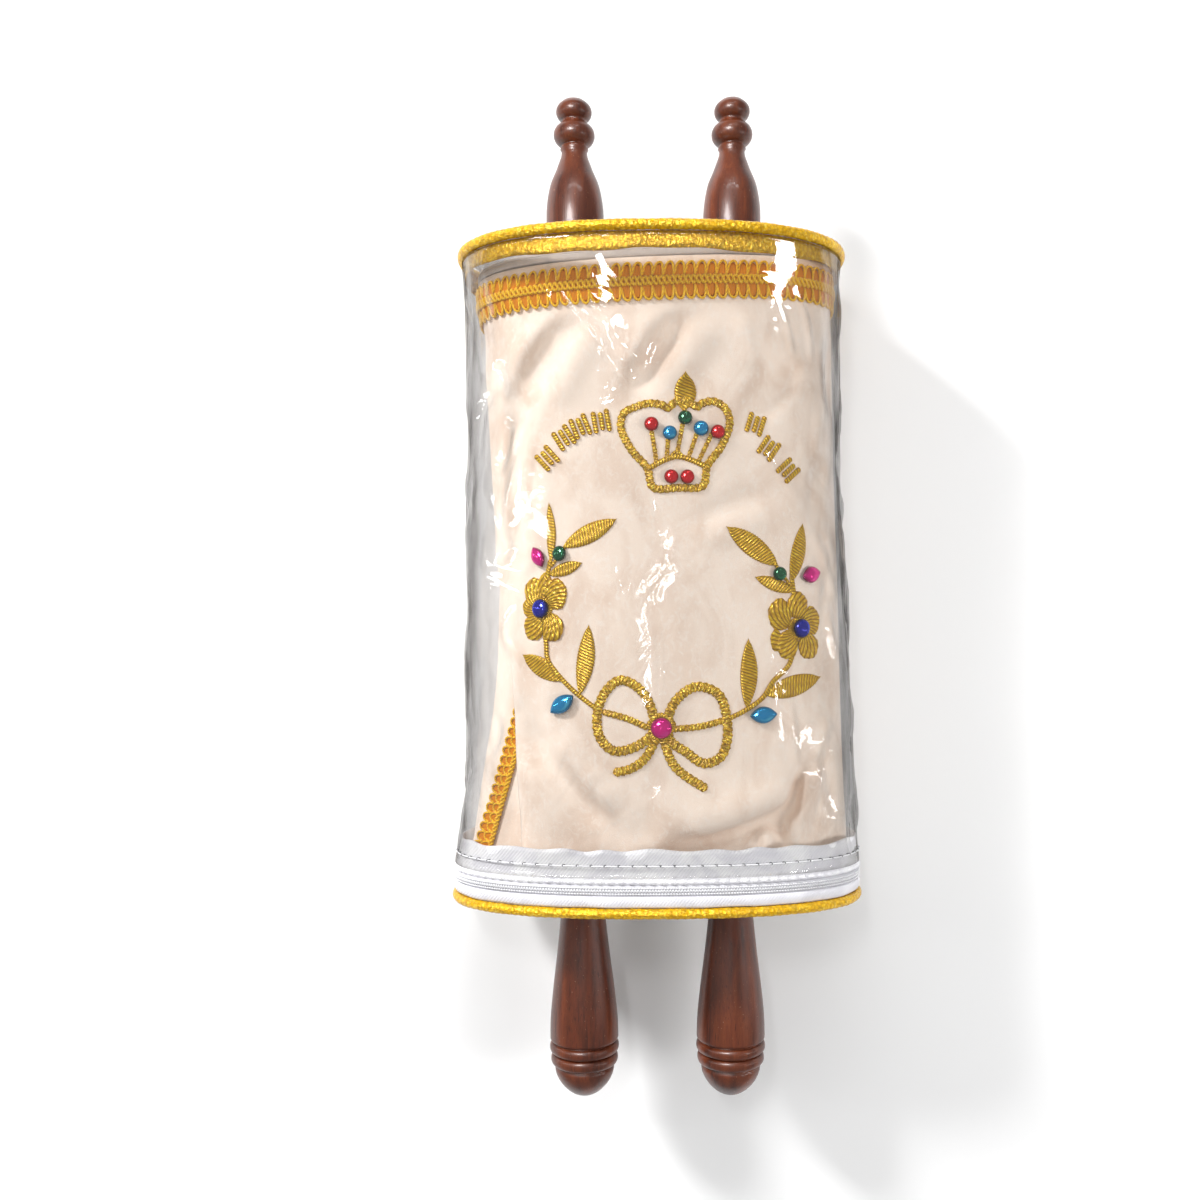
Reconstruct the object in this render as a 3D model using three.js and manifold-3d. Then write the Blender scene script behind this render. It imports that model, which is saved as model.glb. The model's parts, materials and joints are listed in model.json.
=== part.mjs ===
// A dressed torah scroll lying on its back inside a clear zipped cover.
//
// Millimetres. The scroll lies flat: +Z is up, out of the embroidered front, +Y points to the
// finials and +X to the right of the front. The origin is under the middle of the scroll, on the
// surface that it lies on.
import * as THREE from 'three';
import { mergeVertices } from 'three/addons/utils/BufferGeometryUtils.js';
import Module from 'manifold-3d';

const wasm = await Module();
wasm.setup();

// ---------------------------------------------------------------- driving dimensions

const TOTAL_LENGTH = 446;          // finial tip to handle tip
const AXIS_HEIGHT = 38.5;          // roller axes above the surface
const GAP = 0.3;                   // clearance between pieces that touch
const RING_STEPS = 32;             // facets round the cover and the mantle
const OVAL_POWER = 2.4;            // 2 is an ellipse, higher is boxier

// Rollers
const ROLLER_OFFSET = 34.05;       // roller axis from the middle, half way along
const ROLLER_SPLAY = 0.37;         // degrees that each roller leans out at the finials
const ROLLER_STEPS = 14;
const SHAFT_RADIUS = 6.5;

// Parchment
const ROLL_RADIUS = 30;
const ROLL_LENGTH = 224;
const ROLL_CENTRE_Y = -4;
const SHEET_THICKNESS = 1.2;

// Mantle
const MANTLE_THICKNESS = 1.6;
const MANTLE_FRONT = 36.5;         // front face above the roller axes
const MANTLE_BACK = 36;              // back depth before the surface flattens it
const MANTLE_FLOOR = 3.6;          // back face above the surface
const MANTLE_TOP = 140.9;
const MANTLE_TILT = Math.tan(THREE.MathUtils.degToRad(2));
const BOARD_THICKNESS = 5;
const BRAID_WIDTH = 16;
const BRAID_TOP = 137.9;
const BRAID_THICKNESS = 1.8;

// Cover
const WALL_THICKNESS = 0.75;
const WALL_TOP = 146.6;
const WALL_BOTTOM = -116.4;
const PIPING_RADIUS = 2.2;
const PIPING_TOP_Y = 149.1;
const PIPING_BOTTOM_Y = -131.1;
const PIPING_INSET = 0.5;          // piping centre inside the wall's outer face
const PANEL_THICKNESS = 0.75;
const PANEL_INSET = 3.2;
const TAPE_THICKNESS = 0.6;
const HEM_THICKNESS = 0.8;
const ZIP_THICKNESS = 1.6;
const HOLE_STEPS = 12;
const FINIAL_HOLE = 13.2;
const HANDLE_HOLE = 12.2;

// Embroidery and stones
const STITCH_HEIGHT = 0.8;
const STONE_SEAT = 1.4;            // underside of a stone above the velvet
const DESIGN_Y = -1.2;             // the whole design sits this far along from its own origin

// The oval section of the cover: [y, half width, front depth from the axes, sideways lean]
const COVER_STATIONS = [
  [-134, 88.8, 43.6, 0.2],
  [-120, 90.2, 44.0, 0.0],
  [-105, 88.6, 44.6, 0.9],
  [-80, 86.4, 45.6, 1.4],
  [-40, 85.2, 46.6, 1.1],
  [0, 84.2, 47.6, 0.4],
  [50, 82.9, 48.6, -0.3],
  [110, 82.6, 49.6, -0.8],
  [135, 83.6, 50.0, -1.0],
  [152, 84.3, 50.2, -1.1],
];
const COVER_BACK = 41.2;           // back depth before the surface flattens it

// The mantle hugs the left roll and hangs loose on the right: [y, left, right half width]
const MANTLE_STATIONS = [
  [-118, 80, 84],
  [-85, 75.8, 82.5],
  [-30, 70.5, 80.8],
  [30, 70.2, 79.5],
  [115, 75, 78.6],
  [MANTLE_TOP, 78.5, 78.5],
];

const MATERIALS = {
  wood: [0x5e2817, 0.35, 0],
  paper: [0xe9dfc6, 0.9, 0],
  velvet: [0xeadfd3, 0.95, 0],
  satin: [0xe2ddd9, 0.6, 0],
  braid: [0xd08c10, 0.6, 0],
  thread: [0xc8a612, 0.5, 0],
  lame: [0xe0ad08, 0.35, 0.6],
  tape: [0xe8e6ec, 0.8, 0],
  vinyl: [0xdfe6ea, 0.1, 0],
  zipMetal: [0xc9c9c9, 0.35, 1],
  red: [0xb3121c, 0.15, 0],
  sky: [0x2fa9cf, 0.15, 0],
  green: [0x0f4a2c, 0.15, 0],
  blue: [0x1a2f9a, 0.15, 0],
  pink: [0xc3187f, 0.15, 0],
};

// ---------------------------------------------------------------- small helpers

const scroll = new THREE.Group();

/** Adds a geometry to a parent as a named mesh in one of the finishes. */
function addPiece(name, geometry, finish, parent = scroll) {
  const [color, roughness, metalness] = MATERIALS[finish];
  const material = new THREE.MeshStandardMaterial({ color, roughness, metalness });
  if (finish === 'vinyl') {
    material.transparent = true;
    material.opacity = 0.3;
  }
  const mesh = new THREE.Mesh(geometry, material);
  mesh.name = name;
  parent.add(mesh);
  return mesh;
}

/** Turns points and faces into a geometry whose faces point outwards. */
function closedGeometry(points, faces) {
  let volume = 0;
  for (const [a, b, c] of faces) {
    volume += points[a].dot(new THREE.Vector3().crossVectors(points[b], points[c]));
  }
  const ordered = volume > 0 ? faces : faces.map(([a, b, c]) => [a, c, b]);
  const geometry = new THREE.BufferGeometry();
  geometry.setAttribute(
    'position',
    new THREE.Float32BufferAttribute(points.flatMap((point) => point.toArray()), 3),
  );
  geometry.setIndex(ordered.flat());
  geometry.computeVertexNormals();
  return geometry;
}

function toSolid(geometry) {
  const bare = geometry.clone();
  bare.deleteAttribute('normal');
  bare.deleteAttribute('uv');
  const merged = mergeVertices(bare, 1e-4);
  const index = merged.index.array;
  const corners = [];
  for (let i = 0; i < index.length; i += 3) {
    const [a, b, c] = [index[i], index[i + 1], index[i + 2]];
    if (a !== b && b !== c && c !== a) corners.push(a, b, c);
  }
  return new wasm.Manifold(new wasm.Mesh({
    numProp: 3,
    vertProperties: new Float32Array(merged.attributes.position.array),
    triVerts: new Uint32Array(corners),
  }));
}

function fromSolid(solid) {
  const mesh = solid.getMesh();
  const geometry = new THREE.BufferGeometry();
  geometry.setAttribute('position', new THREE.Float32BufferAttribute(mesh.vertProperties, 3));
  geometry.setIndex(new THREE.Uint32BufferAttribute(mesh.triVerts, 1));
  geometry.computeVertexNormals();
  return geometry;
}

/** Reads a row of stations at y, in straight lines between them. */
function readStations(stations, y) {
  const last = stations.length - 1;
  let upper = stations.findIndex((station) => station[0] >= y);
  if (upper === -1) upper = last;
  upper = Math.max(upper, 1);
  const [below, above] = [stations[upper - 1], stations[upper]];
  const share = THREE.MathUtils.clamp((y - below[0]) / (above[0] - below[0]), 0, 1);
  return below.slice(1).map((value, i) => THREE.MathUtils.lerp(value, above[i + 1], share));
}

/** One point of a superellipse with its own half width on each side and depth front and back. */
function ovalPoint(angle, left, right, front, back) {
  const power = 2 / OVAL_POWER;
  const cosine = Math.cos(angle);
  const sine = Math.sin(angle);
  const x = (cosine < 0 ? -left : right) * Math.abs(cosine) ** power;
  const z = (sine < 0 ? -back : front) * Math.abs(sine) ** power;
  return [x, z];
}

function coverSurface(angle, y, offset) {
  const [half, front, lean] = readStations(COVER_STATIONS, y);
  const [x, z] = ovalPoint(angle, half + offset, half + offset, front + offset, COVER_BACK + offset);
  return new THREE.Vector3(x + lean, y, Math.max(AXIS_HEIGHT + z, -offset, 0));
}

/** The mantle's outer face. Its top is sewn on slightly askew, so y rises to the right there. */
function mantleSurface(angle, y, offset) {
  const [left, right] = readStations(MANTLE_STATIONS, y);
  const [x, z] = ovalPoint(
    angle, left + offset, right + offset, MANTLE_FRONT + offset, MANTLE_BACK + offset,
  );
  const askew = THREE.MathUtils.smoothstep(y, 30, MANTLE_TOP - BRAID_WIDTH);
  return new THREE.Vector3(
    x,
    y + x * MANTLE_TILT * askew,
    Math.max(AXIS_HEIGHT + z, MANTLE_FLOOR - offset),
  );
}

function ringAngles(steps = RING_STEPS) {
  return Array.from({ length: steps }, (_, i) => (i / steps) * 2 * Math.PI);
}

/** A closed loop of [y, offset] points: up the outer face and back down the inner one. */
function bandLoop(stations, inner, outer) {
  const upward = stations.map((y) => [y, outer]);
  const downward = stations.map((y) => [y, inner]).reverse();
  return [...upward, ...downward];
}

function roundLoop(centreY, centreOffset, radius, steps) {
  return Array.from({ length: steps }, (_, i) => {
    const angle = ((i + 0.5) / steps) * 2 * Math.PI;
    return [centreY + radius * Math.sin(angle), centreOffset + radius * Math.cos(angle)];
  });
}

/** Sweeps a closed loop round a surface. An open sweep is capped at both ends. */
function sweepLoop(surface, angles, loop, closed = true) {
  const points = angles.flatMap((angle) => loop.map(([y, offset]) => surface(angle, y, offset)));
  const rows = angles.length;
  const columns = loop.length;
  const at = (row, column) => (row % rows) * columns + (column % columns);
  const faces = [];
  const addQuad = (a, b, c, d) => {
    faces.push([a, b, c]);
    faces.push([a, c, d]);
  };
  for (let row = 0; row < (closed ? rows : rows - 1); row += 1) {
    for (let column = 0; column < columns; column += 1) {
      addQuad(at(row, column), at(row + 1, column), at(row + 1, column + 1), at(row, column + 1));
    }
  }
  if (!closed) {
    for (let i = 0; i < columns / 2 - 1; i += 1) {
      const back = columns - 1 - i;
      addQuad(at(0, i), at(0, i + 1), at(0, back - 1), at(0, back));
      addQuad(at(rows - 1, back), at(rows - 1, back - 1), at(rows - 1, i + 1), at(rows - 1, i));
    }
  }
  return closedGeometry(points, faces);
}

/** A flat plate that fills the section of a surface between two heights. */
function plateGeometry(surface, lowY, highY, offset) {
  const angles = ringAngles();
  const ring = (y) => angles.map((angle) => surface(angle, y, offset));
  const centre = (y) => surface(Math.PI / 2, y, offset).setZ(AXIS_HEIGHT);
  const points = [...ring(lowY), ...ring(highY), centre(lowY), centre(highY)];
  const count = angles.length;
  const faces = [];
  for (let i = 0; i < count; i += 1) {
    const next = (i + 1) % count;
    faces.push([i, count + i, count + next], [i, count + next, next]);
    faces.push([i, next, 2 * count], [count + next, count + i, 2 * count + 1]);
  }
  return closedGeometry(points, faces);
}

/** A cylinder along y, placed on one roller's splayed axis. */
function rollerAxisCylinder(side, radius, length, centreY, steps) {
  const geometry = new THREE.CylinderGeometry(radius, radius, length, steps);
  geometry.translate(0, centreY, 0);
  geometry.applyMatrix4(rollerMatrix(side));
  return geometry;
}

function rollerMatrix(side) {
  const lean = THREE.MathUtils.degToRad(-side * ROLLER_SPLAY);
  return new THREE.Matrix4()
    .makeTranslation(side * ROLLER_OFFSET, 0, AXIS_HEIGHT)
    .multiply(new THREE.Matrix4().makeRotationZ(lean));
}

// ---------------------------------------------------------------- rollers

/** Points of an arc in a turned profile, as [radius, y]. */
function profileArc(centreRadius, centreY, width, height, fromDegrees, toDegrees, steps) {
  return Array.from({ length: steps + 1 }, (_, i) => {
    const angle = THREE.MathUtils.degToRad(THREE.MathUtils.lerp(fromDegrees, toDegrees, i / steps));
    return [centreRadius + width * Math.cos(angle), centreY + height * Math.sin(angle)];
  });
}

/** Turned wood: domed handle with two rings, long shaft, then a pear-shaped finial with knobs. */
function rollerProfile() {
  const end = TOTAL_LENGTH / 2;
  const dome = profileArc(0, 13.2 - end, 13.2, 13.2, -90, -8, 3);
  const rings = [
    [12.4, 14.4 - end],
    ...profileArc(13.3, 17.1 - end, 1.6, 2.4, -70, 70, 2),
    [13.9, 19.9 - end],
    ...profileArc(13.7, 22.5 - end, 1.7, 2.4, -70, 70, 2),
    [14.3, 25.2 - end],
  ];
  const handle = [
    [15.2, 27.5 - end],
    [14.8, 38 - end],
    [12.2, 60 - end],
    [9.9, 81 - end],
    [9.4, 95 - end],
    [SHAFT_RADIUS, 102 - end],
  ];
  const pear = [
    [SHAFT_RADIUS, end - 92],
    [10.6, end - 76],
    [12.7, end - 60],
    [12.5, end - 48],
    [11.2, end - 39.7],
    [8.3, end - 32.2],
    [6, end - 26.2],
  ];
  const ball = [[5.8, end - 21.4], ...profileArc(0, end - 16, 9.3, 4.9, -48, 48, 3), [5.8, end - 11]];
  const knob = profileArc(0, end - 5.3, 8.1, 5.3, -44, 90, 4);
  return [...dome, ...rings, ...handle, ...pear, ...ball, ...knob];
}

function addRollers() {
  const points = rollerProfile().map(([radius, y]) => new THREE.Vector2(Math.max(radius, 0), y));
  points[0].x = 0;
  points[points.length - 1].x = 0;
  for (const [name, side] of [['roller_left', -1], ['roller_right', 1]]) {
    const holder = new THREE.Group();
    holder.position.set(side * ROLLER_OFFSET, 0, AXIS_HEIGHT);
    holder.rotation.z = THREE.MathUtils.degToRad(-side * ROLLER_SPLAY);
    scroll.add(holder);
    addPiece(name, new THREE.LatheGeometry(points, ROLLER_STEPS), 'wood', holder);
  }
}

// ---------------------------------------------------------------- parchment

/** One sheet wound on both rollers, with a single flat layer passing from roll to roll. */
function addParchment() {
  const steps = 20;
  const web = new THREE.BoxGeometry(2 * (ROLLER_OFFSET - 5), ROLL_LENGTH, SHEET_THICKNESS);
  web.translate(0, ROLL_CENTRE_Y, AXIS_HEIGHT + ROLL_RADIUS - 1.4 - SHEET_THICKNESS / 2);
  let sheet = toSolid(web);
  for (const side of [-1, 1]) {
    const roll = rollerAxisCylinder(side, ROLL_RADIUS, ROLL_LENGTH, ROLL_CENTRE_Y, steps);
    sheet = sheet.add(toSolid(roll));
  }
  for (const side of [-1, 1]) {
    const bore = rollerAxisCylinder(
      side, SHAFT_RADIUS + 1.5 * GAP, ROLL_LENGTH + 10, ROLL_CENTRE_Y, HOLE_STEPS,
    );
    sheet = sheet.subtract(toSolid(bore));
  }
  addPiece('parchment_scroll', fromSolid(sheet), 'paper');
}

// ---------------------------------------------------------------- mantle

const MANTLE_ROWS = MANTLE_STATIONS.map(([y]) => y);

function addMantle() {
  const tube = bandLoop(MANTLE_ROWS, -MANTLE_THICKNESS, 0);
  addPiece('mantle', sweepLoop(mantleSurface, ringAngles(), tube), 'velvet');

  const boardY = MANTLE_TOP + GAP;
  let board = toSolid(plateGeometry(mantleSurface, boardY, boardY + BOARD_THICKNESS, 0));
  for (const side of [-1, 1]) {
    board = board.subtract(toSolid(rollerAxisCylinder(side, FINIAL_HOLE, 40, boardY, HOLE_STEPS)));
  }
  addPiece('mantle_top_board', fromSolid(board), 'satin');

  const braid = bandLoop([BRAID_TOP - BRAID_WIDTH, BRAID_TOP], GAP, GAP + BRAID_THICKNESS);
  addPiece('mantle_braid_top', sweepLoop(mantleSurface, ringAngles(), braid), 'braid');
}

/** The braid that edges the slit on the mantle's left flank, leaning out towards the hem. */
function addSideBraid() {
  const upperY = -42;
  const lowerY = -116;
  const halfTurn = THREE.MathUtils.degToRad(6.5);
  const middleAngle = (y) => THREE.MathUtils.degToRad(
    THREE.MathUtils.mapLinear(y, upperY, lowerY, 146, 180),
  );
  const stripSurface = (across, y, offset) => mantleSurface(middleAngle(y) + across, y, offset);
  const across = [-1, -0.5, 0, 0.5, 1].map((share) => share * halfTurn);
  const rows = [lowerY, -100, -85, -65, -52, upperY];
  const loop = bandLoop(rows, 2 * GAP, 2 * GAP + BRAID_THICKNESS);
  addPiece('mantle_braid_side', sweepLoop(stripSurface, across, loop, false), 'braid');
}

// ---------------------------------------------------------------- embroidery

/** A leaf between its base and tip, as wide as given at the middle. */
function leafShape(base, tip, width) {
  const [bx, by] = base;
  const [tx, ty] = tip;
  const length = Math.hypot(tx - bx, ty - by);
  const [sideX, sideY] = [(-(ty - by) / length) * width, ((tx - bx) / length) * width];
  const [midX, midY] = [(bx + tx) / 2, (by + ty) / 2];
  const shape = new THREE.Shape();
  shape.moveTo(bx, by);
  shape.quadraticCurveTo(midX + sideX, midY + sideY, tx, ty);
  shape.quadraticCurveTo(midX - sideX, midY - sideY, bx, by);
  return shape;
}

/** A five-petalled flower inside an ellipse. */
function flowerShape(centre, halfWidth, halfHeight) {
  const steps = 20;
  const points = Array.from({ length: steps }, (_, i) => {
    const angle = (i / steps) * 2 * Math.PI;
    const reach = 0.84 + 0.16 * Math.cos(5 * (angle - Math.PI / 2));
    return new THREE.Vector2(
      centre[0] + halfWidth * reach * Math.cos(angle),
      centre[1] + halfHeight * reach * Math.sin(angle),
    );
  });
  return new THREE.Shape(points);
}

function curveThrough(points, closed) {
  const vectors = points.map(([x, y]) => new THREE.Vector3(x, y, 0));
  return new THREE.CatmullRomCurve3(vectors, closed, 'centripetal');
}

/** Points beside a curve, a signed distance to its left. */
function besideCurve(curve, distance, steps, closed) {
  const count = closed ? steps : steps + 1;
  return Array.from({ length: count }, (_, i) => {
    const point = curve.getPointAt(i / steps);
    const tangent = curve.getTangentAt(i / steps);
    return new THREE.Vector2(point.x - tangent.y * distance, point.y + tangent.x * distance);
  });
}

/** A stem: a strip of even width along a curve. */
function stripShape(points, width, steps = 2 * points.length) {
  const curve = curveThrough(points, false);
  const left = besideCurve(curve, width / 2, steps, false);
  const right = besideCurve(curve, -width / 2, steps, false).reverse();
  return new THREE.Shape([...left, ...right]);
}

/** A closed outline of even width, as in the crown's rim and the bow's loops. */
function loopShape(points, width, steps = 2 * points.length) {
  const curve = curveThrough(points, true);
  const sides = [width / 2, -width / 2].map((distance) => besideCurve(curve, distance, steps, true));
  sides.sort((a, b) => Math.abs(THREE.ShapeUtils.area(b)) - Math.abs(THREE.ShapeUtils.area(a)));
  return { rim: new THREE.Shape(sides[0]), hole: new THREE.Shape(sides[1]) };
}

/** An upright prism through the front of the mantle, from a shape or a rim with its hole. */
function designPrism(design) {
  if (design.rim) return designPrism(design.rim).subtract(designPrism(design.hole));
  const prism = new THREE.ExtrudeGeometry(design, {
    depth: 2 * MANTLE_FRONT, bevelEnabled: false, curveSegments: 3,
  });
  prism.translate(0, DESIGN_Y, AXIS_HEIGHT);
  return toSolid(prism);
}

/** The thin layer that the stitching fills, lying on the velvet's own facets. */
function stitchLayer() {
  const facet = (2 * Math.PI) / RING_STEPS;
  const angles = Array.from({ length: 13 }, (_, i) => (i + 2) * facet);
  const loop = bandLoop(MANTLE_ROWS.slice(1, -1), GAP, GAP + STITCH_HEIGHT);
  return toSolid(sweepLoop(mantleSurface, angles, loop, false));
}

/** Joins flat shapes and presses them onto the velvet as one patch of stitching. */
function embroider(name, shapes, layer) {
  const joined = shapes.map(designPrism).reduce((sum, prism) => sum.add(prism));
  addPiece(name, fromSolid(joined.intersect(layer)), 'thread');
}

/** Turns design points given about the crown's own base into the scroll's frame. */
function crownPoint([x, y]) {
  const lean = THREE.MathUtils.degToRad(2.2);
  return [
    9.7 + x * Math.cos(lean) - y * Math.sin(lean),
    45.8 + x * Math.sin(lean) + y * Math.cos(lean),
  ];
}

function crownShapes() {
  const rightHalf = [[10.2, 0], [12.6, 8.4], [18.6, 16], [22.6, 25], [20.6, 32.6], [13.6, 35.4]];
  const leftHalf = rightHalf.map(([x, y]) => [-x, y]).reverse();
  const outline = [[0, -0.4], ...rightHalf, [6, 34.6], [1.6, 32.6], [-3.4, 34.6], ...leftHalf];
  const brow = [[-12, 8], [-6, 11], [0, 13.4], [6, 11], [12, 8]];
  const rays = [
    [[-8.6, 10], [-10.4, 26]],
    [[-4.3, 11.5], [-3, 22.4]],
    [[0, 13], [3.6, 28.6]],
    [[4.6, 11.5], [9.6, 24]],
    [[8.8, 10], [15.4, 22.4]],
  ];
  return [
    loopShape(outline.map(crownPoint), 3.3, 24),
    stripShape(brow.map(crownPoint), 2.2, 8),
    ...rays.map((ray) => stripShape(ray.map(crownPoint), 1.5, 2)),
    leafShape([12.1, 77.2], [13, 93.4], 8.8),
  ];
}

function bowShapes() {
  const leftLoop = [
    [-1.4, -48], [-5.9, -38.9], [-14.2, -34.4], [-20.8, -39],
    [-24.4, -48], [-23.6, -57.7], [-17.6, -63.8], [-8.5, -62.1], [-1.4, -56.3],
  ];
  const rightLoop = [
    [5.7, -48], [10.3, -41], [17.4, -37.3], [25.7, -40.2], [29.2, -48],
    [29.8, -58.9], [26.8, -66.8], [19.7, -69.2], [12.7, -64.6], [5.6, -58.8],
  ];
  const leftTail = [[1, -57], [-4.4, -66.7], [-10.6, -71.3], [-18.1, -73]];
  const rightTail = [[2.4, -57], [6.2, -67.9], [11.4, -73.8], [21.3, -80]];
  return [
    loopShape(leftLoop, 4, 16),
    loopShape(rightLoop, 4, 16),
    stripShape(leftTail, 3.8, 6),
    stripShape(rightTail, 3.8, 6),
    stripShape([[-22.6, -47.5], [-3, -54.4]], 1.8, 2),
    stripShape([[5, -55], [18.5, -53.9], [28.6, -51.4]], 1.8, 3),
    flowerShape([2.2, -54.2], 6, 6),
  ];
}

function leftBranchShapes() {
  const stem = [
    [-43.9, 16.5], [-46.5, 5], [-47.6, -4.4], [-46.2, -18.7], [-45.3, -26.2],
    [-39.8, -33.6], [-32.8, -40.3], [-29.3, -43.2],
  ];
  return [
    stripShape(stem, 2, 12),
    leafShape([-43.9, 14], [-44.6, 40.5], 3.6),
    stripShape([[-44, 13], [-37, 22.2]], 1.4, 2),
    leafShape([-39.4, 20.8], [-15.6, 32.9], 7.6),
    leafShape([-45.4, 9.6], [-30.2, 14.7], 5.6),
    flowerShape([-47.2, -4], 9.4, 15),
    leafShape([-38.8, -35.3], [-56.9, -23.6], 8),
    leafShape([-31.9, -41.4], [-27.8, -10.9], 7.4),
  ];
}

function rightBranchShapes() {
  const stem = [
    [33, -49.6], [37.4, -47.4], [44.7, -42.3], [49.4, -35.4], [56.9, -27.5],
    [59.8, -12.6], [58.8, 0], [57.6, 9],
  ];
  return [
    stripShape(stem, 2, 12),
    leafShape([38, -47.4], [38.8, -17], 7.2),
    leafShape([44.8, -41.4], [71.1, -33.8], 9),
    flowerShape([59.8, -12.6], 12.6, 15.2),
    stripShape([[57.8, 4], [50, 14.4]], 1.4, 2),
    leafShape([52.4, 12.6], [29.4, 29.6], 8.6),
    leafShape([57.4, 5.6], [63.1, 31.8], 6.2),
    leafShape([59.4, 2], [41.5, 8.5], 5.8),
  ];
}

function addEmbroidery() {
  const layer = stitchLayer();
  embroider('crown_embroidery', crownShapes(), layer);
  embroider('branch_embroidery_left', leftBranchShapes(), layer);
  embroider('branch_embroidery_right', rightBranchShapes(), layer);
  embroider('bow_embroidery', bowShapes(), layer);
}

// ---------------------------------------------------------------- stones

/** Height of the velvet's front face over a point of the design. */
function velvetHeight(x, y) {
  const [left, right] = readStations(MANTLE_STATIONS, y);
  const share = Math.min(Math.abs(x) / (x < 0 ? left : right), 1);
  return AXIS_HEIGHT + MANTLE_FRONT * (1 - share ** OVAL_POWER) ** (1 / OVAL_POWER);
}

function velvetNormal(x, y) {
  const step = 1;
  const slopeX = (velvetHeight(x + step, y) - velvetHeight(x - step, y)) / (2 * step);
  const slopeY = (velvetHeight(x, y + step) - velvetHeight(x, y - step)) / (2 * step);
  return new THREE.Vector3(-slopeX, -slopeY, 1).normalize();
}

/** A flat-backed domed stone. A navette is drawn to a point at both ends. */
function stoneGeometry(length, width, height, navette) {
  const steps = 8;
  const reach = (angle) => {
    const round = (length * width) / Math.hypot(width * Math.cos(angle), length * Math.sin(angle));
    const taper = navette ? 1 - 0.22 * Math.sin(2 * angle) ** 2 : 1;
    return (round / 2) * taper;
  };
  const levels = [[1, 0], [1, 0.3], [0.62, 0.88]];
  const points = levels.flatMap(([share, rise]) => ringAngles(steps).map((angle) => {
    const radius = reach(angle) * share;
    return new THREE.Vector3(radius * Math.cos(angle), radius * Math.sin(angle), rise * height);
  }));
  points.push(new THREE.Vector3(0, 0, 0), new THREE.Vector3(0, 0, height));
  const underside = levels.length * steps;
  const faces = [];
  for (let i = 0; i < steps; i += 1) {
    const next = (i + 1) % steps;
    for (let level = 0; level < levels.length - 1; level += 1) {
      const [low, high] = [level * steps, (level + 1) * steps];
      faces.push([low + i, low + next, high + next], [low + i, high + next, high + i]);
    }
    const top = (levels.length - 1) * steps;
    faces.push([next, i, underside], [top + i, top + next, underside + 1]);
  }
  return closedGeometry(points, faces);
}

// [name, finish, x, y, length, width, turn in degrees, navette]
const STONES = [
  ['stone_crown_red_left', 'red', -1.3, 71.8, 6, 6, 0, false],
  ['stone_crown_blue_left', 'sky', 6.3, 68.1, 6, 6, 0, false],
  ['stone_crown_green', 'green', 12.7, 74.5, 6, 6, 0, false],
  ['stone_crown_blue_right', 'sky', 19.3, 70, 6.4, 6.4, 0, false],
  ['stone_crown_red_right', 'red', 26.2, 68.6, 6, 6, 0, false],
  ['stone_crown_base_left', 'red', 6.8, 49.9, 6, 6, 0, false],
  ['stone_crown_base_right', 'red', 13.4, 49.9, 6, 6, 0, false],
  ['stone_bud_pink_left', 'pink', -48.9, 17.4, 9.6, 6, -62, true],
  ['stone_bud_green_left', 'green', -39.8, 18.6, 6.6, 6, 75, false],
  ['stone_flower_left', 'blue', -48.1, -4.4, 8.2, 7.4, 80, false],
  ['stone_drop_blue_left', 'sky', -39, -44.5, 12.4, 7.2, 36, true],
  ['stone_bow', 'pink', 2.2, -54.2, 9, 9, 0, false],
  ['stone_drop_blue_right', 'sky', 44.8, -49.4, 11.8, 7.2, 4, true],
  ['stone_flower_right', 'blue', 61.3, -13.2, 8.2, 7.8, 80, false],
  ['stone_bud_green_right', 'green', 52.1, 9.8, 6, 6, 0, false],
  ['stone_bud_pink_right', 'pink', 65.6, 9.6, 12, 7.2, 14, true],
];

function addStones() {
  const up = new THREE.Vector3(0, 0, 1);
  for (const [name, finish, x, designY, length, width, turn, navette] of STONES) {
    const y = designY + DESIGN_Y;
    const normal = velvetNormal(x, y);
    const seat = new THREE.Group();
    seat.position.set(x, y, velvetHeight(x, y)).addScaledVector(normal, STONE_SEAT);
    seat.quaternion.setFromUnitVectors(up, normal);
    scroll.add(seat);
    const height = 0.32 * width;
    const stone = addPiece(name, stoneGeometry(length, width, height, navette), finish, seat);
    stone.rotation.z = THREE.MathUtils.degToRad(turn);
  }
}

// ---------------------------------------------------------------- cover

function addBand(name, lowY, highY, inner, outer, finish, middleRows = []) {
  const loop = bandLoop([lowY, ...middleRows, highY], inner, outer);
  addPiece(name, sweepLoop(coverSurface, ringAngles(), loop), finish);
}

function addEndPanel(name, lowY, holeRadius) {
  const plate = plateGeometry(coverSurface, lowY, lowY + PANEL_THICKNESS, -PANEL_INSET);
  let panel = toSolid(plate);
  for (const side of [-1, 1]) {
    panel = panel.subtract(toSolid(rollerAxisCylinder(side, holeRadius, 10, lowY, HOLE_STEPS)));
  }
  addPiece(name, fromSolid(panel), 'vinyl');
}

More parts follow.
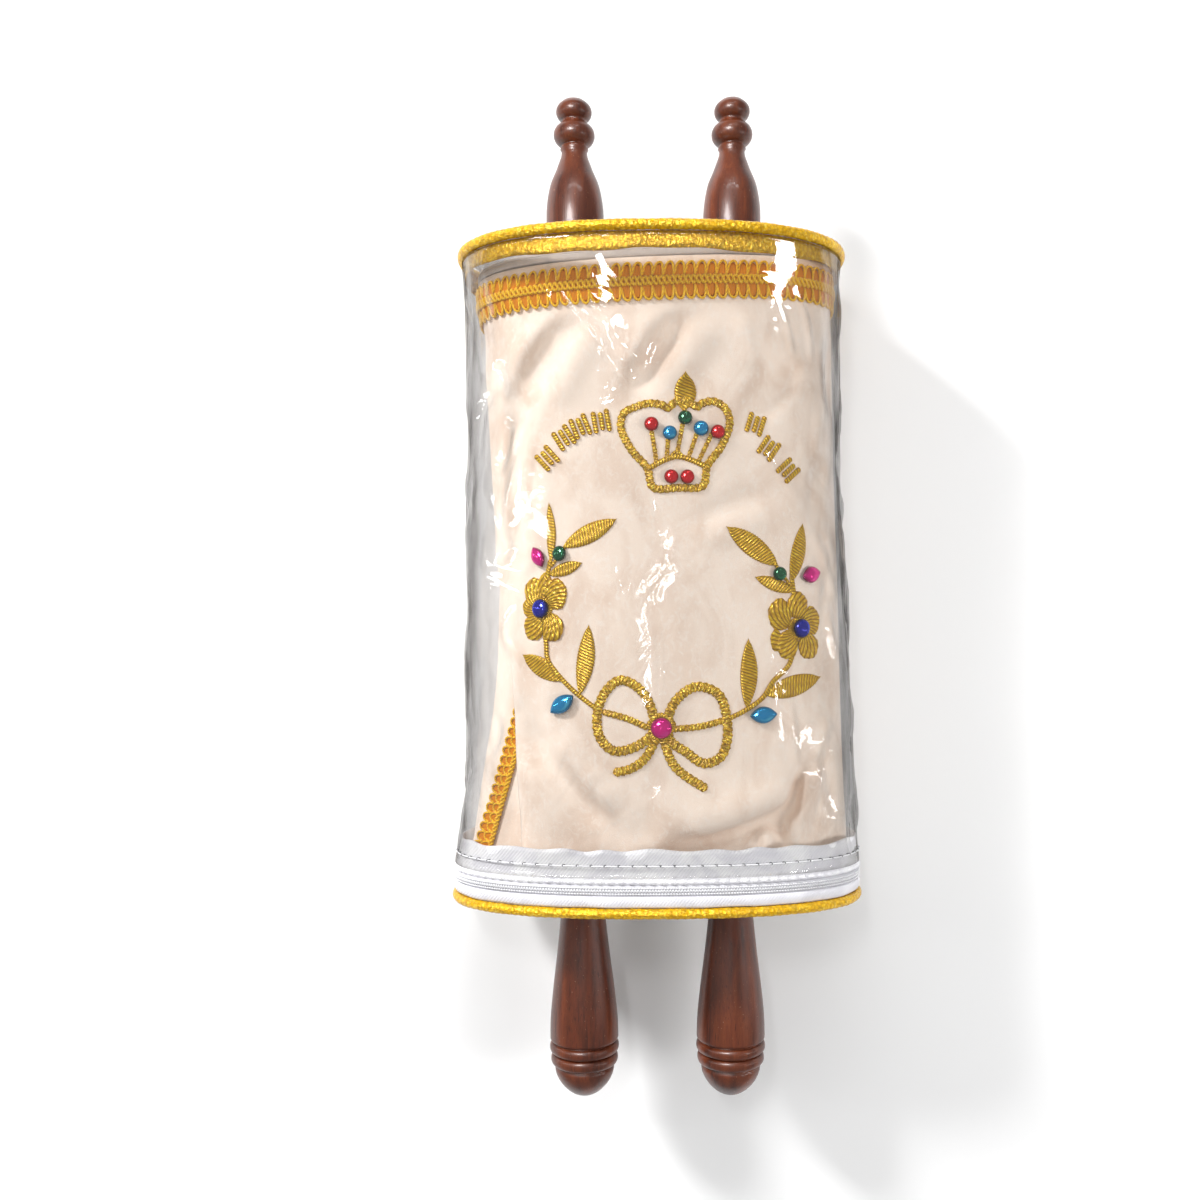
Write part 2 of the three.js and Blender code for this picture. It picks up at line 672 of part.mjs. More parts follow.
function addCover() {
  const wallRows = [-105, -80, 0, 110];
  addBand('cover_wall', WALL_BOTTOM, WALL_TOP, -WALL_THICKNESS, 0, 'vinyl', wallRows);

  for (const [name, centreY] of [
    ['cover_piping_top', PIPING_TOP_Y],
    ['cover_piping_bottom', PIPING_BOTTOM_Y],
  ]) {
    const loop = roundLoop(centreY, -PIPING_INSET, PIPING_RADIUS, 6);
    addPiece(name, sweepLoop(coverSurface, ringAngles(), loop), 'lame');
  }
  addEndPanel('cover_panel_top', PIPING_TOP_Y + 1, FINIAL_HOLE);
  addEndPanel('cover_panel_bottom', PIPING_BOTTOM_Y - 1, HANDLE_HOLE);

  const insideWall = -WALL_THICKNESS - GAP;
  addBand(
    'cover_seam_tape', WALL_TOP - 7, WALL_TOP - 0.9,
    insideWall - TAPE_THICKNESS, insideWall, 'lame',
  );

  const hemBottom = WALL_BOTTOM - 3;
  const zipBottom = hemBottom - 4.5;
  const pipingEdge = PIPING_BOTTOM_Y + PIPING_RADIUS + GAP;
  addBand(
    'cover_hem_band', WALL_BOTTOM + 11.3, hemBottom,
    insideWall - HEM_THICKNESS, insideWall, 'tape', [WALL_BOTTOM],
  );
  addBand('zip_chain', zipBottom + GAP, hemBottom - GAP, -ZIP_THICKNESS, 0, 'tape');
  addBand('cover_base_band', pipingEdge, zipBottom, -1.2, 0, 'tape');
  addZipSlider((hemBottom + zipBottom) / 2);
}

/** The slider and its pull sit low on the right flank, where the zip ends. */
function addZipSlider(zipY) {
  const angle = THREE.MathUtils.degToRad(-24);
  const place = coverSurface(angle, zipY, GAP + 0.1);
  const along = coverSurface(angle + 0.02, zipY, 0).sub(coverSurface(angle - 0.02, zipY, 0));
  const yAxis = new THREE.Vector3(0, 1, 0);
  const normal = new THREE.Vector3().crossVectors(yAxis, along).normalize().negate();
  if (normal.x < 0) normal.negate();
  const xAxis = new THREE.Vector3().crossVectors(yAxis, normal);
  const seat = new THREE.Group();
  seat.position.copy(place);
  seat.quaternion.setFromRotationMatrix(new THREE.Matrix4().makeBasis(xAxis, yAxis, normal));
  scroll.add(seat);

  const body = new THREE.BoxGeometry(9, 6.6, 1.9);
  body.translate(0, 0, 0.95);
  addPiece('zip_slider', body, 'zipMetal', seat);

  const outline = new THREE.Shape();
  outline.absarc(0, 0, 2.6, Math.PI / 2, 1.5 * Math.PI, false);
  outline.lineTo(13, -1.9);
  outline.lineTo(13, 1.9);
  const tab = new THREE.ExtrudeGeometry(outline, {
    depth: 0.9, bevelEnabled: false, curveSegments: 6,
  });
  const pull = addPiece('zip_pull', tab, 'zipMetal', seat);
  pull.position.z = 1.9 + GAP;
}

addRollers();
addParchment();
addMantle();
addSideBraid();
addEmbroidery();
addStones();
addCover();

export default scroll;
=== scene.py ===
"""A dressed torah scroll lying on its back in its clear zipped cover.

The two rollers, the wound parchment, the embroidered velvet mantle and the vinyl cover are each built
by a class of their own, in the shared frame: the scroll's length runs along +Y, finials first, and +Z
is up. Sizes in the classes are in millimetres.
"""

from __future__ import annotations

import json
import logging
import math
import random
from collections.abc import Callable, Sequence
from dataclasses import dataclass, field, replace
from enum import Enum

import bpy
import numpy as np
from mathutils import Matrix, Vector

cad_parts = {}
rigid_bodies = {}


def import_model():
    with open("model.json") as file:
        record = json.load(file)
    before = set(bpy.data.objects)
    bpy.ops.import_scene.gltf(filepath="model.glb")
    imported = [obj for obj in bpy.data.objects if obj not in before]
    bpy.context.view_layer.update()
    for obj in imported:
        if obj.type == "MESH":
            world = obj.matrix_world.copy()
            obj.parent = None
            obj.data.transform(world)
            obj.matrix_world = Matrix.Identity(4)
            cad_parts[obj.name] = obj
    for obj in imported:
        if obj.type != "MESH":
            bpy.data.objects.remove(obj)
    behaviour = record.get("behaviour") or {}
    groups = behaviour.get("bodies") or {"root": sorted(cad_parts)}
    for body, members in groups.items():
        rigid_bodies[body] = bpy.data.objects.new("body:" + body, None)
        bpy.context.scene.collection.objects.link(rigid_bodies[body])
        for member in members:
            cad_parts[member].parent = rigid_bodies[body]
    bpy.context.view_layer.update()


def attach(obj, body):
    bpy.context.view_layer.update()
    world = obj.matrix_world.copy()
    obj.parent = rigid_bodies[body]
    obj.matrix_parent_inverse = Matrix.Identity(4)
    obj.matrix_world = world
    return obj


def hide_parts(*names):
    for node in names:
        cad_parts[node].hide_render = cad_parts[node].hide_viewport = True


LOG = logging.getLogger("torah_scroll")

MM = 0.001  # metres
AXIS_HEIGHT = 38.5  # the rollers' axes above the floor
OVAL_POWER = 2.4  # 2 is an ellipse, higher is boxier
ROLLER_OFFSET = 34.05  # each roller's axis from the middle
ROLLER_SPLAY = math.tan(math.radians(0.37))  # how the rollers lean apart towards the finials
FINIAL_HOLE = 13.2  # radius
HANDLE_HOLE = 12.2  # radius
PANEL_THICKNESS = 0.75
PANEL_INSET = 3.2
DESIGN_Y = -1.2  # the design's own origin along the scroll
BRAID_PITCH = 4.4
STITCH_PITCH = 5.8
COIL_PITCH = 1.2
ROOT = "root"

Points = Sequence[tuple[float, ...]]
Place = Callable[[np.ndarray, np.ndarray], np.ndarray]
Pair = tuple[np.ndarray, np.ndarray]


# ---------------------------------------------------------------- materials


def linear_colour(code: str) -> tuple[float, float, float, float]:
    """Turns an sRGB hex code into a linear colour with full alpha."""
    parts = [int(code[i : i + 2], 16) / 255 for i in (1, 3, 5)]
    red, green, blue = [c / 12.92 if c <= 0.04045 else ((c + 0.055) / 1.055) ** 2.4 for c in parts]
    return red, green, blue, 1.0


def add_node(tree: bpy.types.NodeTree, kind: str, inputs: dict | None = None, **settings) -> bpy.types.Node:
    """Adds one node to a tree.

    Args:
        tree: the node tree.
        kind: the node's type name.
        inputs: a value or an output socket for each named or numbered input.
        settings: the node's own properties.

    Returns:
        The new node.
    """
    node = tree.nodes.new(kind)
    for name, value in settings.items():
        setattr(node, name, value)
    for name, value in (inputs or {}).items():
        if isinstance(value, bpy.types.NodeSocket):
            tree.links.new(value, node.inputs[name])
        else:
            node.inputs[name].default_value = value
    return node


class Pattern(Enum):
    """The texture that a layer of a finish is drawn with."""

    NOISE = "ShaderNodeTexNoise"
    CELLS = "ShaderNodeTexVoronoi"
    WAVES = "ShaderNodeTexWave"


class Coordinates(Enum):
    """What a finish is laid out on: the object's own space, or the piece's own lengthwise layout."""

    OBJECT = "Object"
    LAYOUT = "UV"


@dataclass(frozen=True)
class Layer:
    """One pattern of a finish: it tints the colour below it and raises or sinks the surface."""

    pattern: Pattern
    repeats: tuple[float, float, float]  # repeats to the millimetre along each axis
    tint: str
    amount: float = 1.0
    low: float = 0.35
    high: float = 0.65
    relief: float = 0.0  # millimetres
    turn: float = 0.0  # degrees about the third axis
    detail: float = 3.0
    warp: float = 0.0


@dataclass(frozen=True)
class Finish:
    """A material: its colour, its layers of pattern and its gloss; in some finishes a layer is painted
    shade or a painted highlight.
    """

    name: str
    colour: str
    layers: tuple[Layer, ...]
    roughness: float = 0.6
    metallic: float = 0.0
    sheen: float = 0.0
    coat: float = 0.0
    coordinates: Coordinates = Coordinates.OBJECT

    def material(self) -> bpy.types.Material:
        """Builds the material once and returns it each time after.

        Returns:
            The material with its nodes.
        """
        known = bpy.data.materials.get(self.name)
        if known:
            return known
        material = bpy.data.materials.new(self.name)
        material.use_nodes = True
        tree = material.node_tree
        shader = next(n for n in tree.nodes if n.type == "BSDF_PRINCIPLED")
        shader.inputs["Roughness"].default_value = self.roughness
        shader.inputs["Metallic"].default_value = self.metallic
        shader.inputs["Sheen Weight"].default_value = self.sheen
        shader.inputs["Sheen Roughness"].default_value = 0.4
        shader.inputs["Coat Weight"].default_value = self.coat
        shader.inputs["Coat Roughness"].default_value = 0.12
        colour = None
        normal = None
        for layer in self.layers:
            colour, normal = self._add_layer(tree, layer, colour, normal)
        tree.links.new(colour, shader.inputs["Base Color"])
        if normal:
            tree.links.new(normal, shader.inputs["Normal"])
        return material

    def _add_layer(
        self,
        tree: bpy.types.NodeTree,
        layer: Layer,
        below: bpy.types.NodeSocket | None,
        normal_below: bpy.types.NodeSocket | None,
    ) -> tuple[bpy.types.NodeSocket, bpy.types.NodeSocket | None]:
        """Adds one layer over what is below it.

        Args:
            tree: the material's node tree.
            layer: the layer.
            below: the colour socket below, or None for the plain colour.
            normal_below: the normal socket below, or None.

        Returns:
            The colour socket and the normal socket with this layer in them.
        """
        unit = 1.0 if self.coordinates is Coordinates.LAYOUT else 1 / MM
        if layer.pattern is Pattern.WAVES:
            unit *= math.pi / 10
        coords = add_node(tree, "ShaderNodeTexCoord")
        mapping = add_node(
            tree,
            "ShaderNodeMapping",
            {
                "Vector": coords.outputs[self.coordinates.value],
                "Scale": tuple(unit * r for r in layer.repeats),
                "Rotation": (0.0, 0.0, math.radians(layer.turn)),
            },
        )
        texture = add_node(tree, layer.pattern.value, {"Vector": mapping.outputs[0], "Scale": 1.0})
        if layer.pattern is Pattern.CELLS:
            value = texture.outputs["Distance"]
        else:
            texture.inputs["Distortion"].default_value = layer.warp
            value = texture.outputs["Fac"]
        if layer.pattern is Pattern.NOISE:
            texture.inputs["Detail"].default_value = layer.detail
        share = add_node(
            tree,
            "ShaderNodeMapRange",
            {0: value, 1: layer.low, 2: layer.high, 3: 0.0, 4: layer.amount},
            clamp=True,
        )
        mix = add_node(tree, "ShaderNodeMix", {0: share.outputs[0]}, data_type="RGBA")
        mix.inputs[7].default_value = linear_colour(layer.tint)
        if below is None:
            mix.inputs[6].default_value = linear_colour(self.colour)
        else:
            tree.links.new(below, mix.inputs[6])
        normal = normal_below
        if layer.relief:
            bump = add_node(
                tree,
                "ShaderNodeBump",
                {"Height": value, "Distance": abs(layer.relief) * MM, "Strength": 1.0},
                invert=layer.relief < 0,
            )
            if normal_below:
                tree.links.new(normal_below, bump.inputs["Normal"])
            normal = bump.outputs[0]
        return mix.outputs[2], normal


@dataclass(frozen=True)
class VinylFinish:
    """Soft clear vinyl: see-through, glossy, crinkled and a little grey where it is seen edge on."""

    name: str = "clear_vinyl"
    crinkle: float = 0.35  # millimetres
    clear_tint: str = "#FFFFFF"
    edge_tint: str = "#ADABAA"
    least_shine: float = 0.035
    most_shine: float = 0.6

    def material(self) -> bpy.types.Material:
        """Builds the vinyl once and returns it each time after.

        Returns:
            The material with its nodes.
        """
        known = bpy.data.materials.get(self.name)
        if known:
            return known
        material = bpy.data.materials.new(self.name)
        material.use_nodes = True
        tree = material.node_tree
        tree.nodes.clear()
        coords = add_node(tree, "ShaderNodeTexCoord")
        creases = add_node(
            tree,
            "ShaderNodeTexNoise",
            {"Vector": coords.outputs["Object"], "Scale": 45.0, "Detail": 2.0, "Distortion": 1.5},
        )
        bump = add_node(
            tree,
            "ShaderNodeBump",
            {"Height": creases.outputs["Fac"], "Distance": self.crinkle * MM, "Strength": 1.0},
        )
        edge = add_node(tree, "ShaderNodeLayerWeight", {"Blend": 0.5, "Normal": bump.outputs[0]})
        grazing = add_node(tree, "ShaderNodeMath", {0: edge.outputs["Facing"], 1: 2.5}, operation="POWER")
        stretch = add_node(
            tree,
            "ShaderNodeMapping",
            {"Vector": coords.outputs["Object"], "Scale": (1, 0.12, 1)},
        )
        streaks = add_node(
            tree,
            "ShaderNodeTexNoise",
            {"Vector": stretch.outputs[0], "Scale": 160.0, "Detail": 3.0, "Distortion": 0.8},
        )
        patchy = add_node(
            tree,
            "ShaderNodeMapRange",
            {0: streaks.outputs["Fac"], 1: 0.4, 2: 0.62},
            clamp=True,
        )
        silver = add_node(
            tree,
            "ShaderNodeMath",
            {0: grazing.outputs[0], 1: patchy.outputs[0]},
            operation="MULTIPLY",
        )
        shade = add_node(tree, "ShaderNodeMath", {0: edge.outputs["Facing"], 1: 1.5}, operation="POWER")
        tint = add_node(tree, "ShaderNodeMix", {0: shade.outputs[0]}, data_type="RGBA")
        tint.inputs[6].default_value = linear_colour(self.clear_tint)
        tint.inputs[7].default_value = linear_colour(self.edge_tint)
        clear = add_node(tree, "ShaderNodeBsdfTransparent", {"Color": tint.outputs[2]})
        gloss = add_node(
            tree,
            "ShaderNodeBsdfGlossy",
            {"Color": (1.0, 1.0, 1.0, 1.0), "Roughness": 0.06, "Normal": bump.outputs[0]},
        )
        shine = add_node(
            tree,
            "ShaderNodeMapRange",
            {0: silver.outputs[0], 3: self.least_shine, 4: self.most_shine},
            clamp=True,
        )
        mixed = add_node(
            tree,
            "ShaderNodeMixShader",
            {0: shine.outputs[0], 1: clear.outputs[0], 2: gloss.outputs[0]},
        )
        add_node(tree, "ShaderNodeOutputMaterial", {"Surface": mixed.outputs[0]})
        return material


# Reddish hardwood, stained and lacquered, with dark pores along the grain
WOOD = Finish(
    "lacquered_hardwood",
    "#3A1506",
    (
        Layer(Pattern.NOISE, (0.16, 0.012, 0.16), "#6E3418", 1.0, 0.36, 0.64, detail=4, warp=0.4),
        Layer(Pattern.NOISE, (1.1, 0.05, 1.1), "#5C2712", 0.7, 0.45, 0.62, detail=2),
        Layer(Pattern.NOISE, (3.2, 0.22, 3.2), "#1E0804", 0.75, 0.6, 0.72, relief=-0.05, detail=2),
        Layer(Pattern.NOISE, (2.4, 0.9, 2.4), "#B98C72", 0.7, 0.74, 0.8, detail=1),
    ),
    roughness=0.34,
    coat=0.22,
)
# Parchment, warm and faintly mottled
PARCHMENT = Finish(
    "parchment",
    "#E3D6B8",
    (
        Layer(Pattern.NOISE, (0.05, 0.05, 0.05), "#F1E8D0", 1.0, 0.35, 0.65),
        Layer(Pattern.NOISE, (1.6, 0.4, 1.6), "#CDBB94", 0.5, 0.5, 0.75, relief=0.05),
    ),
    roughness=0.85,
)
# Cotton velvet with a short brushed pile
VELVET = Finish(
    "ivory_velvet",
    "#FBEADA",
    (
        Layer(Pattern.NOISE, (0.045, 0.03, 0.045), "#E2C6B0", 0.6, 0.44, 0.68, detail=3, warp=1.2),
        Layer(Pattern.NOISE, (0.35, 0.25, 0.35), "#FFF6EC", 0.5, 0.5, 0.72, detail=4, warp=1.5),
        Layer(Pattern.NOISE, (2.6, 1.9, 2.6), "#D6C0AC", 0.25, 0.5, 0.8, relief=0.16, detail=3),
    ),
    roughness=0.92,
    sheen=0.35,
)
# Satin lining cloth over the top board
SATIN = Finish(
    "grey_white_satin",
    "#D2CCC9",
    (
        Layer(Pattern.NOISE, (0.06, 0.12, 0.06), "#E7E1DD", 1.0, 0.35, 0.65, detail=3, warp=1.0),
        Layer(Pattern.WAVES, (1.8, 0.2, 1.8), "#C2BBB8", 0.25, 0.3, 0.8, relief=0.05),
    ),
    roughness=0.5,
    sheen=0.2,
)
# Orange-gold rayon cord of the gimp braid
CORD = Finish(
    "gold_braid_cord",
    "#FFCC1C",
    (
        Layer(Pattern.WAVES, (1.27, 1.25, 1.0), "#C87C00", 0.7, 0.5, 1.0, relief=0.1, turn=-53, warp=0.5),
        Layer(Pattern.NOISE, (0.8, 0.5, 0.8), "#FFD23C", 0.8, 0.5, 0.7, detail=2),
    ),
    roughness=0.38,
    metallic=0.15,
    sheen=0.2,
    coordinates=Coordinates.LAYOUT,
)
# Darker core threads that fill the braid
BRAID_FILL = Finish(
    "gold_braid_filling",
    "#F09406",
    (
        Layer(Pattern.WAVES, (0.2, 1.7, 0.2), "#A86200", 0.6, 0.4, 0.95, relief=0.15, turn=90, warp=0.8),
        Layer(Pattern.NOISE, (0.5, 0.8, 0.5), "#DD9010", 0.7, 0.5, 0.72, detail=3),
    ),
    roughness=0.5,
    metallic=0.1,
    coordinates=Coordinates.LAYOUT,
)
# Shiny rayon embroidery thread in satin stitch, its light streaks painted highlights and its dark wavy
# lines painted shade
THREAD = Finish(
    "gold_embroidery_thread",
    "#CE9E04",
    (
        # painted highlight: light streaks along the stitches
        Layer(Pattern.NOISE, (0.22, 2.8, 1.0), "#FCE244", 0.9, 0.5, 0.68, relief=0.12, detail=3, turn=-32),
        # painted shade: dark wavy lines along the stitches
        Layer(Pattern.WAVES, (0.4, 1.5, 1.0), "#704600", 0.8, 0.5, 1.0, relief=0.16, turn=-32, warp=1.4),
        Layer(Pattern.NOISE, (0.5, 0.35, 1.0), "#8A6402", 0.5, 0.52, 0.72, detail=2),
    ),
    roughness=0.33,
    metallic=0.35,
    coordinates=Coordinates.LAYOUT,
)
# The same thread worked in short crossing stitches, with painted highlights on them and painted shade
# darkening the gaps between them
CROSSED_THREAD = Finish(
    "gold_crossed_thread",
    "#E0AC0A",
    (
        # painted highlight: light patches on the stitches
        Layer(Pattern.NOISE, (0.9, 1.3, 1.0), "#FFE850", 0.95, 0.48, 0.62, relief=0.2, detail=3, turn=28),
        # painted shade: dark cells in the sunken gaps between the stitches
        Layer(Pattern.CELLS, (0.62, 0.95, 1.0), "#7C4E00", 0.6, 0.44, 0.66, relief=-0.7, turn=35),
        # painted shade: dark wavy lines over the stitches
        Layer(Pattern.WAVES, (0.5, 1.1, 1.0), "#8C5C00", 0.55, 0.6, 1.0, relief=0.15, turn=-40, warp=2.5),
    ),
    roughness=0.36,
    metallic=0.25,
    coordinates=Coordinates.LAYOUT,
)
# Crinkled gold lame, a metallic coated cloth
LAME = Finish(
    "gold_lame",
    "#F2BC04",
    (
        Layer(Pattern.NOISE, (0.5, 0.5, 0.5), "#FFE658", 0.85, 0.5, 0.7, relief=0.6, detail=4, warp=1.6),
        Layer(Pattern.CELLS, (0.7, 0.7, 0.7), "#A87400", 0.55, 0.35, 0.7, relief=0.3),
        Layer(Pattern.NOISE, (3.0, 3.0, 3.0), "#FFF2A0", 0.6, 0.66, 0.76, detail=2),
    ),
    roughness=0.24,
    metallic=0.4,
)
# White polyester tape under thin clear film
TAPE = Finish(
    "white_tape",
    "#D9D8DE",
    (
        Layer(Pattern.NOISE, (0.07, 0.1, 0.07), "#E9E8ED", 1.0, 0.35, 0.62, detail=3, warp=0.8),
        Layer(Pattern.WAVES, (0.9, 0.9, 0.9), "#D8D6E0", 0.3, 0.4, 0.9, relief=0.1, turn=40, warp=0.6),
    ),
    roughness=0.55,
    coat=0.2,
)
# The same white tape painted brighter, as painted light that makes up for the shade the tinted vinyl wall
# casts on the hem band
HEM_TAPE_PAINTED_BRIGHTER = replace(TAPE, name="bright_hem_tape", colour="#FFFFFF")
# White nylon of the zip's coil and stitches
NYLON = Finish(
    "white_nylon",
    "#F3F3F5",
    (Layer(Pattern.NOISE, (1.2, 1.2, 1.2), "#D6D6DA", 0.7, 0.4, 0.7, relief=0.06, detail=2),),
    roughness=0.35,
)
ZIP_CLOTH = Finish(
    "grey_white_zip_tape",
    "#D2D1D7",
    (Layer(Pattern.WAVES, (1.5, 1.5, 1.5), "#D4D3D8", 0.8, 0.2, 0.8, relief=0.1, turn=45, warp=0.4),),
    roughness=0.7,
)
# Dark painted shade standing in for the needle holes where the hem's stitches go into the band
NEEDLE_HOLE_PAINTED_SHADE = Finish(
    "needle_hole",
    "#4A4A50",
    (Layer(Pattern.NOISE, (1.5, 1.5, 1.5), "#2E2E33", 0.8, 0.4, 0.6),),
    roughness=0.9,
)
# Nickel-plated zip slider
NICKEL = Finish(
    "nickel_plate",
    "#B9B8B4",
    (Layer(Pattern.NOISE, (0.4, 3.0, 0.4), "#8F8E8A", 0.7, 0.4, 0.7, relief=0.03),),
    roughness=0.28,
    metallic=1.0,
)


def acrylic(name: str, rim: str, middle: str, glint: str) -> Finish:
    """A moulded acrylic stone: its rim darkened as painted shade, its own colour further in, and lighter
    patches of painted glints.
    """
    return Finish(
        name,
        rim,
        (
            # painted shade: the rim stays dark and the stone's own colour rises towards the middle
            Layer(Pattern.WAVES, (0.0, 0.5, 0.0), middle, 1.0, 0.22, 0.75, turn=90),
            # painted glints: lighter patches of the glint colour
            Layer(Pattern.NOISE, (2.6, 2.2, 1.0), glint, 0.5, 0.56, 0.72, detail=1),
        ),
        roughness=0.08,
        metallic=0.55,
        coat=0.5,
        coordinates=Coordinates.LAYOUT,
    )


class Stone(Enum):
    """The colours of the stones, each with the slot it takes its finish from, a dark rim colour that is
    painted shade, its own colour and a glint colour that is painted glints.
    """

    RED = ("stone_red", "#5A0006", "#DC000C", "#F42028")
    SKY = ("stone_sky", "#04527C", "#0690CC", "#70DCF8")
    GREEN = ("stone_green", "#01200F", "#045A34", "#18A068")
    BLUE = ("stone_blue", "#020430", "#0510A4", "#2E4CF0")
    PINK = ("stone_pink", "#640038", "#EC0490", "#FF50C0")

    def finish(self) -> Finish:
        """The acrylic finish of this colour."""
        # the rim colour is painted shade and the glint colour painted glints
        slot, rim, middle, glint = self.value
        return acrylic("acrylic_" + slot, rim, middle, glint)


# ---------------------------------------------------------------- mesh helpers


def select_only(*objects: bpy.types.Object) -> None:
    """Selects these objects alone and makes the first one active."""
    bpy.ops.object.select_all(action="DESELECT")
    for obj in objects:
        obj.select_set(True)
    bpy.context.view_layer.objects.active = objects[0]


def close_and_orient(obj: bpy.types.Object, merge: float = 1e-6) -> None:
    """Merges points that meet and turns every face outward."""
    select_only(obj)
    bpy.ops.object.mode_set(mode="EDIT")
    bpy.ops.mesh.select_all(action="SELECT")
    bpy.ops.mesh.remove_doubles(threshold=merge)
    bpy.ops.mesh.normals_make_consistent(inside=False)
    bpy.ops.object.mode_set(mode="OBJECT")


def placed_grid(
    name: str,
    columns: int,
    rows: int,
    place: Place,
    layout: tuple[float, float] = (1.0, 1.0),
    close: bool = True,
) -> bpy.types.Object:
    """Adds a grid and puts each of its points where place says.

    Args:
        name: the piece's name.
        columns: faces across.
        rows: faces along.
        place: turns shares across and along, from 0 to 1, into points in millimetres.
        layout: the real width and length in millimetres that the layout is scaled to.
        close: whether meeting edges and poles are merged.

    Returns:
        The new object, smooth shaded.
    """
    bpy.ops.object.select_all(action="DESELECT")
    bpy.ops.mesh.primitive_grid_add(x_subdivisions=columns, y_subdivisions=rows, size=1.0)
    obj = bpy.context.object
    obj.name = name
    mesh = obj.data
    mesh.name = name
    flat = np.empty(3 * len(mesh.vertices), dtype=np.float32)
    mesh.vertices.foreach_get("co", flat)
    flat = flat.reshape(-1, 3)
    across, along = (np.clip(flat[:, i] + 0.5, 0, 1).astype(float) for i in (0, 1))
    points = place(across, along)
    mesh.vertices.foreach_set("co", (points * MM).astype(np.float32).ravel())
    layer = mesh.uv_layers.active
    pairs = np.empty(2 * len(layer.uv), dtype=np.float32)
    layer.uv.foreach_get("vector", pairs)
    pairs = pairs.reshape(-1, 2) * np.array(layout, dtype=np.float32)
    layer.uv.foreach_set("vector", pairs.ravel())
    mesh.update()
    if close:
        close_and_orient(obj)
    select_only(obj)
    bpy.ops.object.shade_smooth()
    return obj


def join(name: str, parts: Sequence[bpy.types.Object]) -> bpy.types.Object:
    """Joins parts into the first one, under one name."""
    select_only(*parts)
    if len(parts) > 1:
        bpy.ops.object.join()
    joined = bpy.context.object
    joined.name = name
    joined.data.name = name
    return joined


def dress(obj: bpy.types.Object, finish: Finish | VinylFinish) -> bpy.types.Object:
    """Gives a piece its finish."""
    obj.data.materials.clear()
    obj.data.materials.append(finish.material())
    return obj


def settle(obj: bpy.types.Object, slot: str, *nodes: str) -> bpy.types.Object:
    """Lets a finished piece ride on the body and stand for its nodes; the slot it is given is not used."""
    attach(obj, ROOT)
    if nodes:
        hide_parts(*nodes)
    LOG.info("%s: %d faces", obj.name, len(obj.data.polygons))
    return obj


def smoothstep(value: np.ndarray, low: float, high: float) -> np.ndarray:
    """An even rise from 0 at low to 1 at high."""
    share = np.clip((value - low) / (high - low), 0, 1)
    return share * share * (3 - 2 * share)


def even_curve(points: Points, count: int, closed: bool = False) -> np.ndarray:
    """A smooth curve through points, cut into even steps.

    Args:
        points: the points it passes through.
        count: how many steps.
        closed: whether it comes back to its start.

    Returns:
        An array of count + 1 points.
    """
    knots = np.array(points, dtype=float)
    if closed:
        knots = np.vstack([knots[-1], knots, knots[0], knots[1]])
    else:
        knots = np.vstack([2 * knots[0] - knots[1], knots, 2 * knots[-1] - knots[-2]])
    fine = []
    for a, b, c, d in zip(knots, knots[1:], knots[2:], knots[3:]):
        t = np.linspace(0, 1, 24, endpoint=False)[:, None]
        square = (2 * a - 5 * b + 4 * c - d) * t**2
        cube = (3 * b - a - 3 * c + d) * t**3
        fine.append(0.5 * (2 * b + (c - a) * t + square + cube))
    fine.append(knots[-2][None, :])
    path = np.vstack(fine)
    steps = np.concatenate([[0], np.cumsum(np.linalg.norm(np.diff(path, axis=0), axis=1))])
    wanted = np.linspace(0, steps[-1], count + 1)
    return np.column_stack([np.interp(wanted, steps, path[:, i]) for i in range(path.shape[1])])


def path_length(path: np.ndarray) -> float:
    """The length of a path in millimetres."""
    return float(np.linalg.norm(np.diff(path, axis=0), axis=1).sum())


def unit_rows(rows: np.ndarray) -> np.ndarray:
    """Each row scaled to length one."""
    return rows / np.maximum(np.linalg.norm(rows, axis=1, keepdims=True), 1e-9)


def nearest_on(path: np.ndarray, x: np.ndarray, y: np.ndarray) -> tuple[np.ndarray, np.ndarray]:
    """Finds the nearest point of a path to each place.

    Args:
        path: the path's points.
        x: the places' first measure.
        y: the places' second measure.

    Returns:
        The distance to the path, and the share of the path before its nearest point.
    """
    best = np.full_like(x, 1e9)
    share = np.zeros_like(x)
    for i, (a, b) in enumerate(zip(path, path[1:])):
        run = b - a
        t = np.clip(((x - a[0]) * run[0] + (y - a[1]) * run[1]) / (run @ run), 0, 1)
        distance = np.hypot(x - a[0] - t * run[0], y - a[1] - t * run[1])
        nearer = distance < best
        best = np.where(nearer, distance, best)
        share = np.where(nearer, (i + t) / (len(path) - 1), share)
    return best, share


def cord_mesh(
    name: str,
    path: np.ndarray,
    up: np.ndarray,
    radius: np.ndarray,
    sides: int = 6,
    closed: bool = False,
) -> bpy.types.Object:
    """A round cord along a path.

    Args:
        name: the piece's name.
        path: points in millimetres.
        up: the direction away from the surface at each point.
        radius: the cord's radius at each point.
        sides: faces round it.
        closed: whether the path is a ring.

    Returns:
        The cord, its ends drawn to a point where it is open.
    """
    count = len(path) - 1
    along = unit_rows(np.gradient(path, axis=0))
    if closed:
        along[0] = along[-1] = unit_rows((path[1] - path[-2])[None, :])[0]
    across = unit_rows(np.cross(along, up))
    out = np.cross(across, along)
    reach = radius.copy()
    if not closed:
        reach[0] = reach[-1] = 0.0

    def place(u: np.ndarray, v: np.ndarray) -> np.ndarray:
        """Puts a point of the grid on the cord."""
        at = np.rint(v * count).astype(int)
        turn = 2 * math.pi * u
        ring = np.cos(turn)[:, None] * across[at] + np.sin(turn)[:, None] * out[at]
        return path[at] + ring * reach[at][:, None]

    layout = (2 * math.pi * float(radius.mean()), path_length(path))
    return placed_grid(name, sides, count, place, layout)


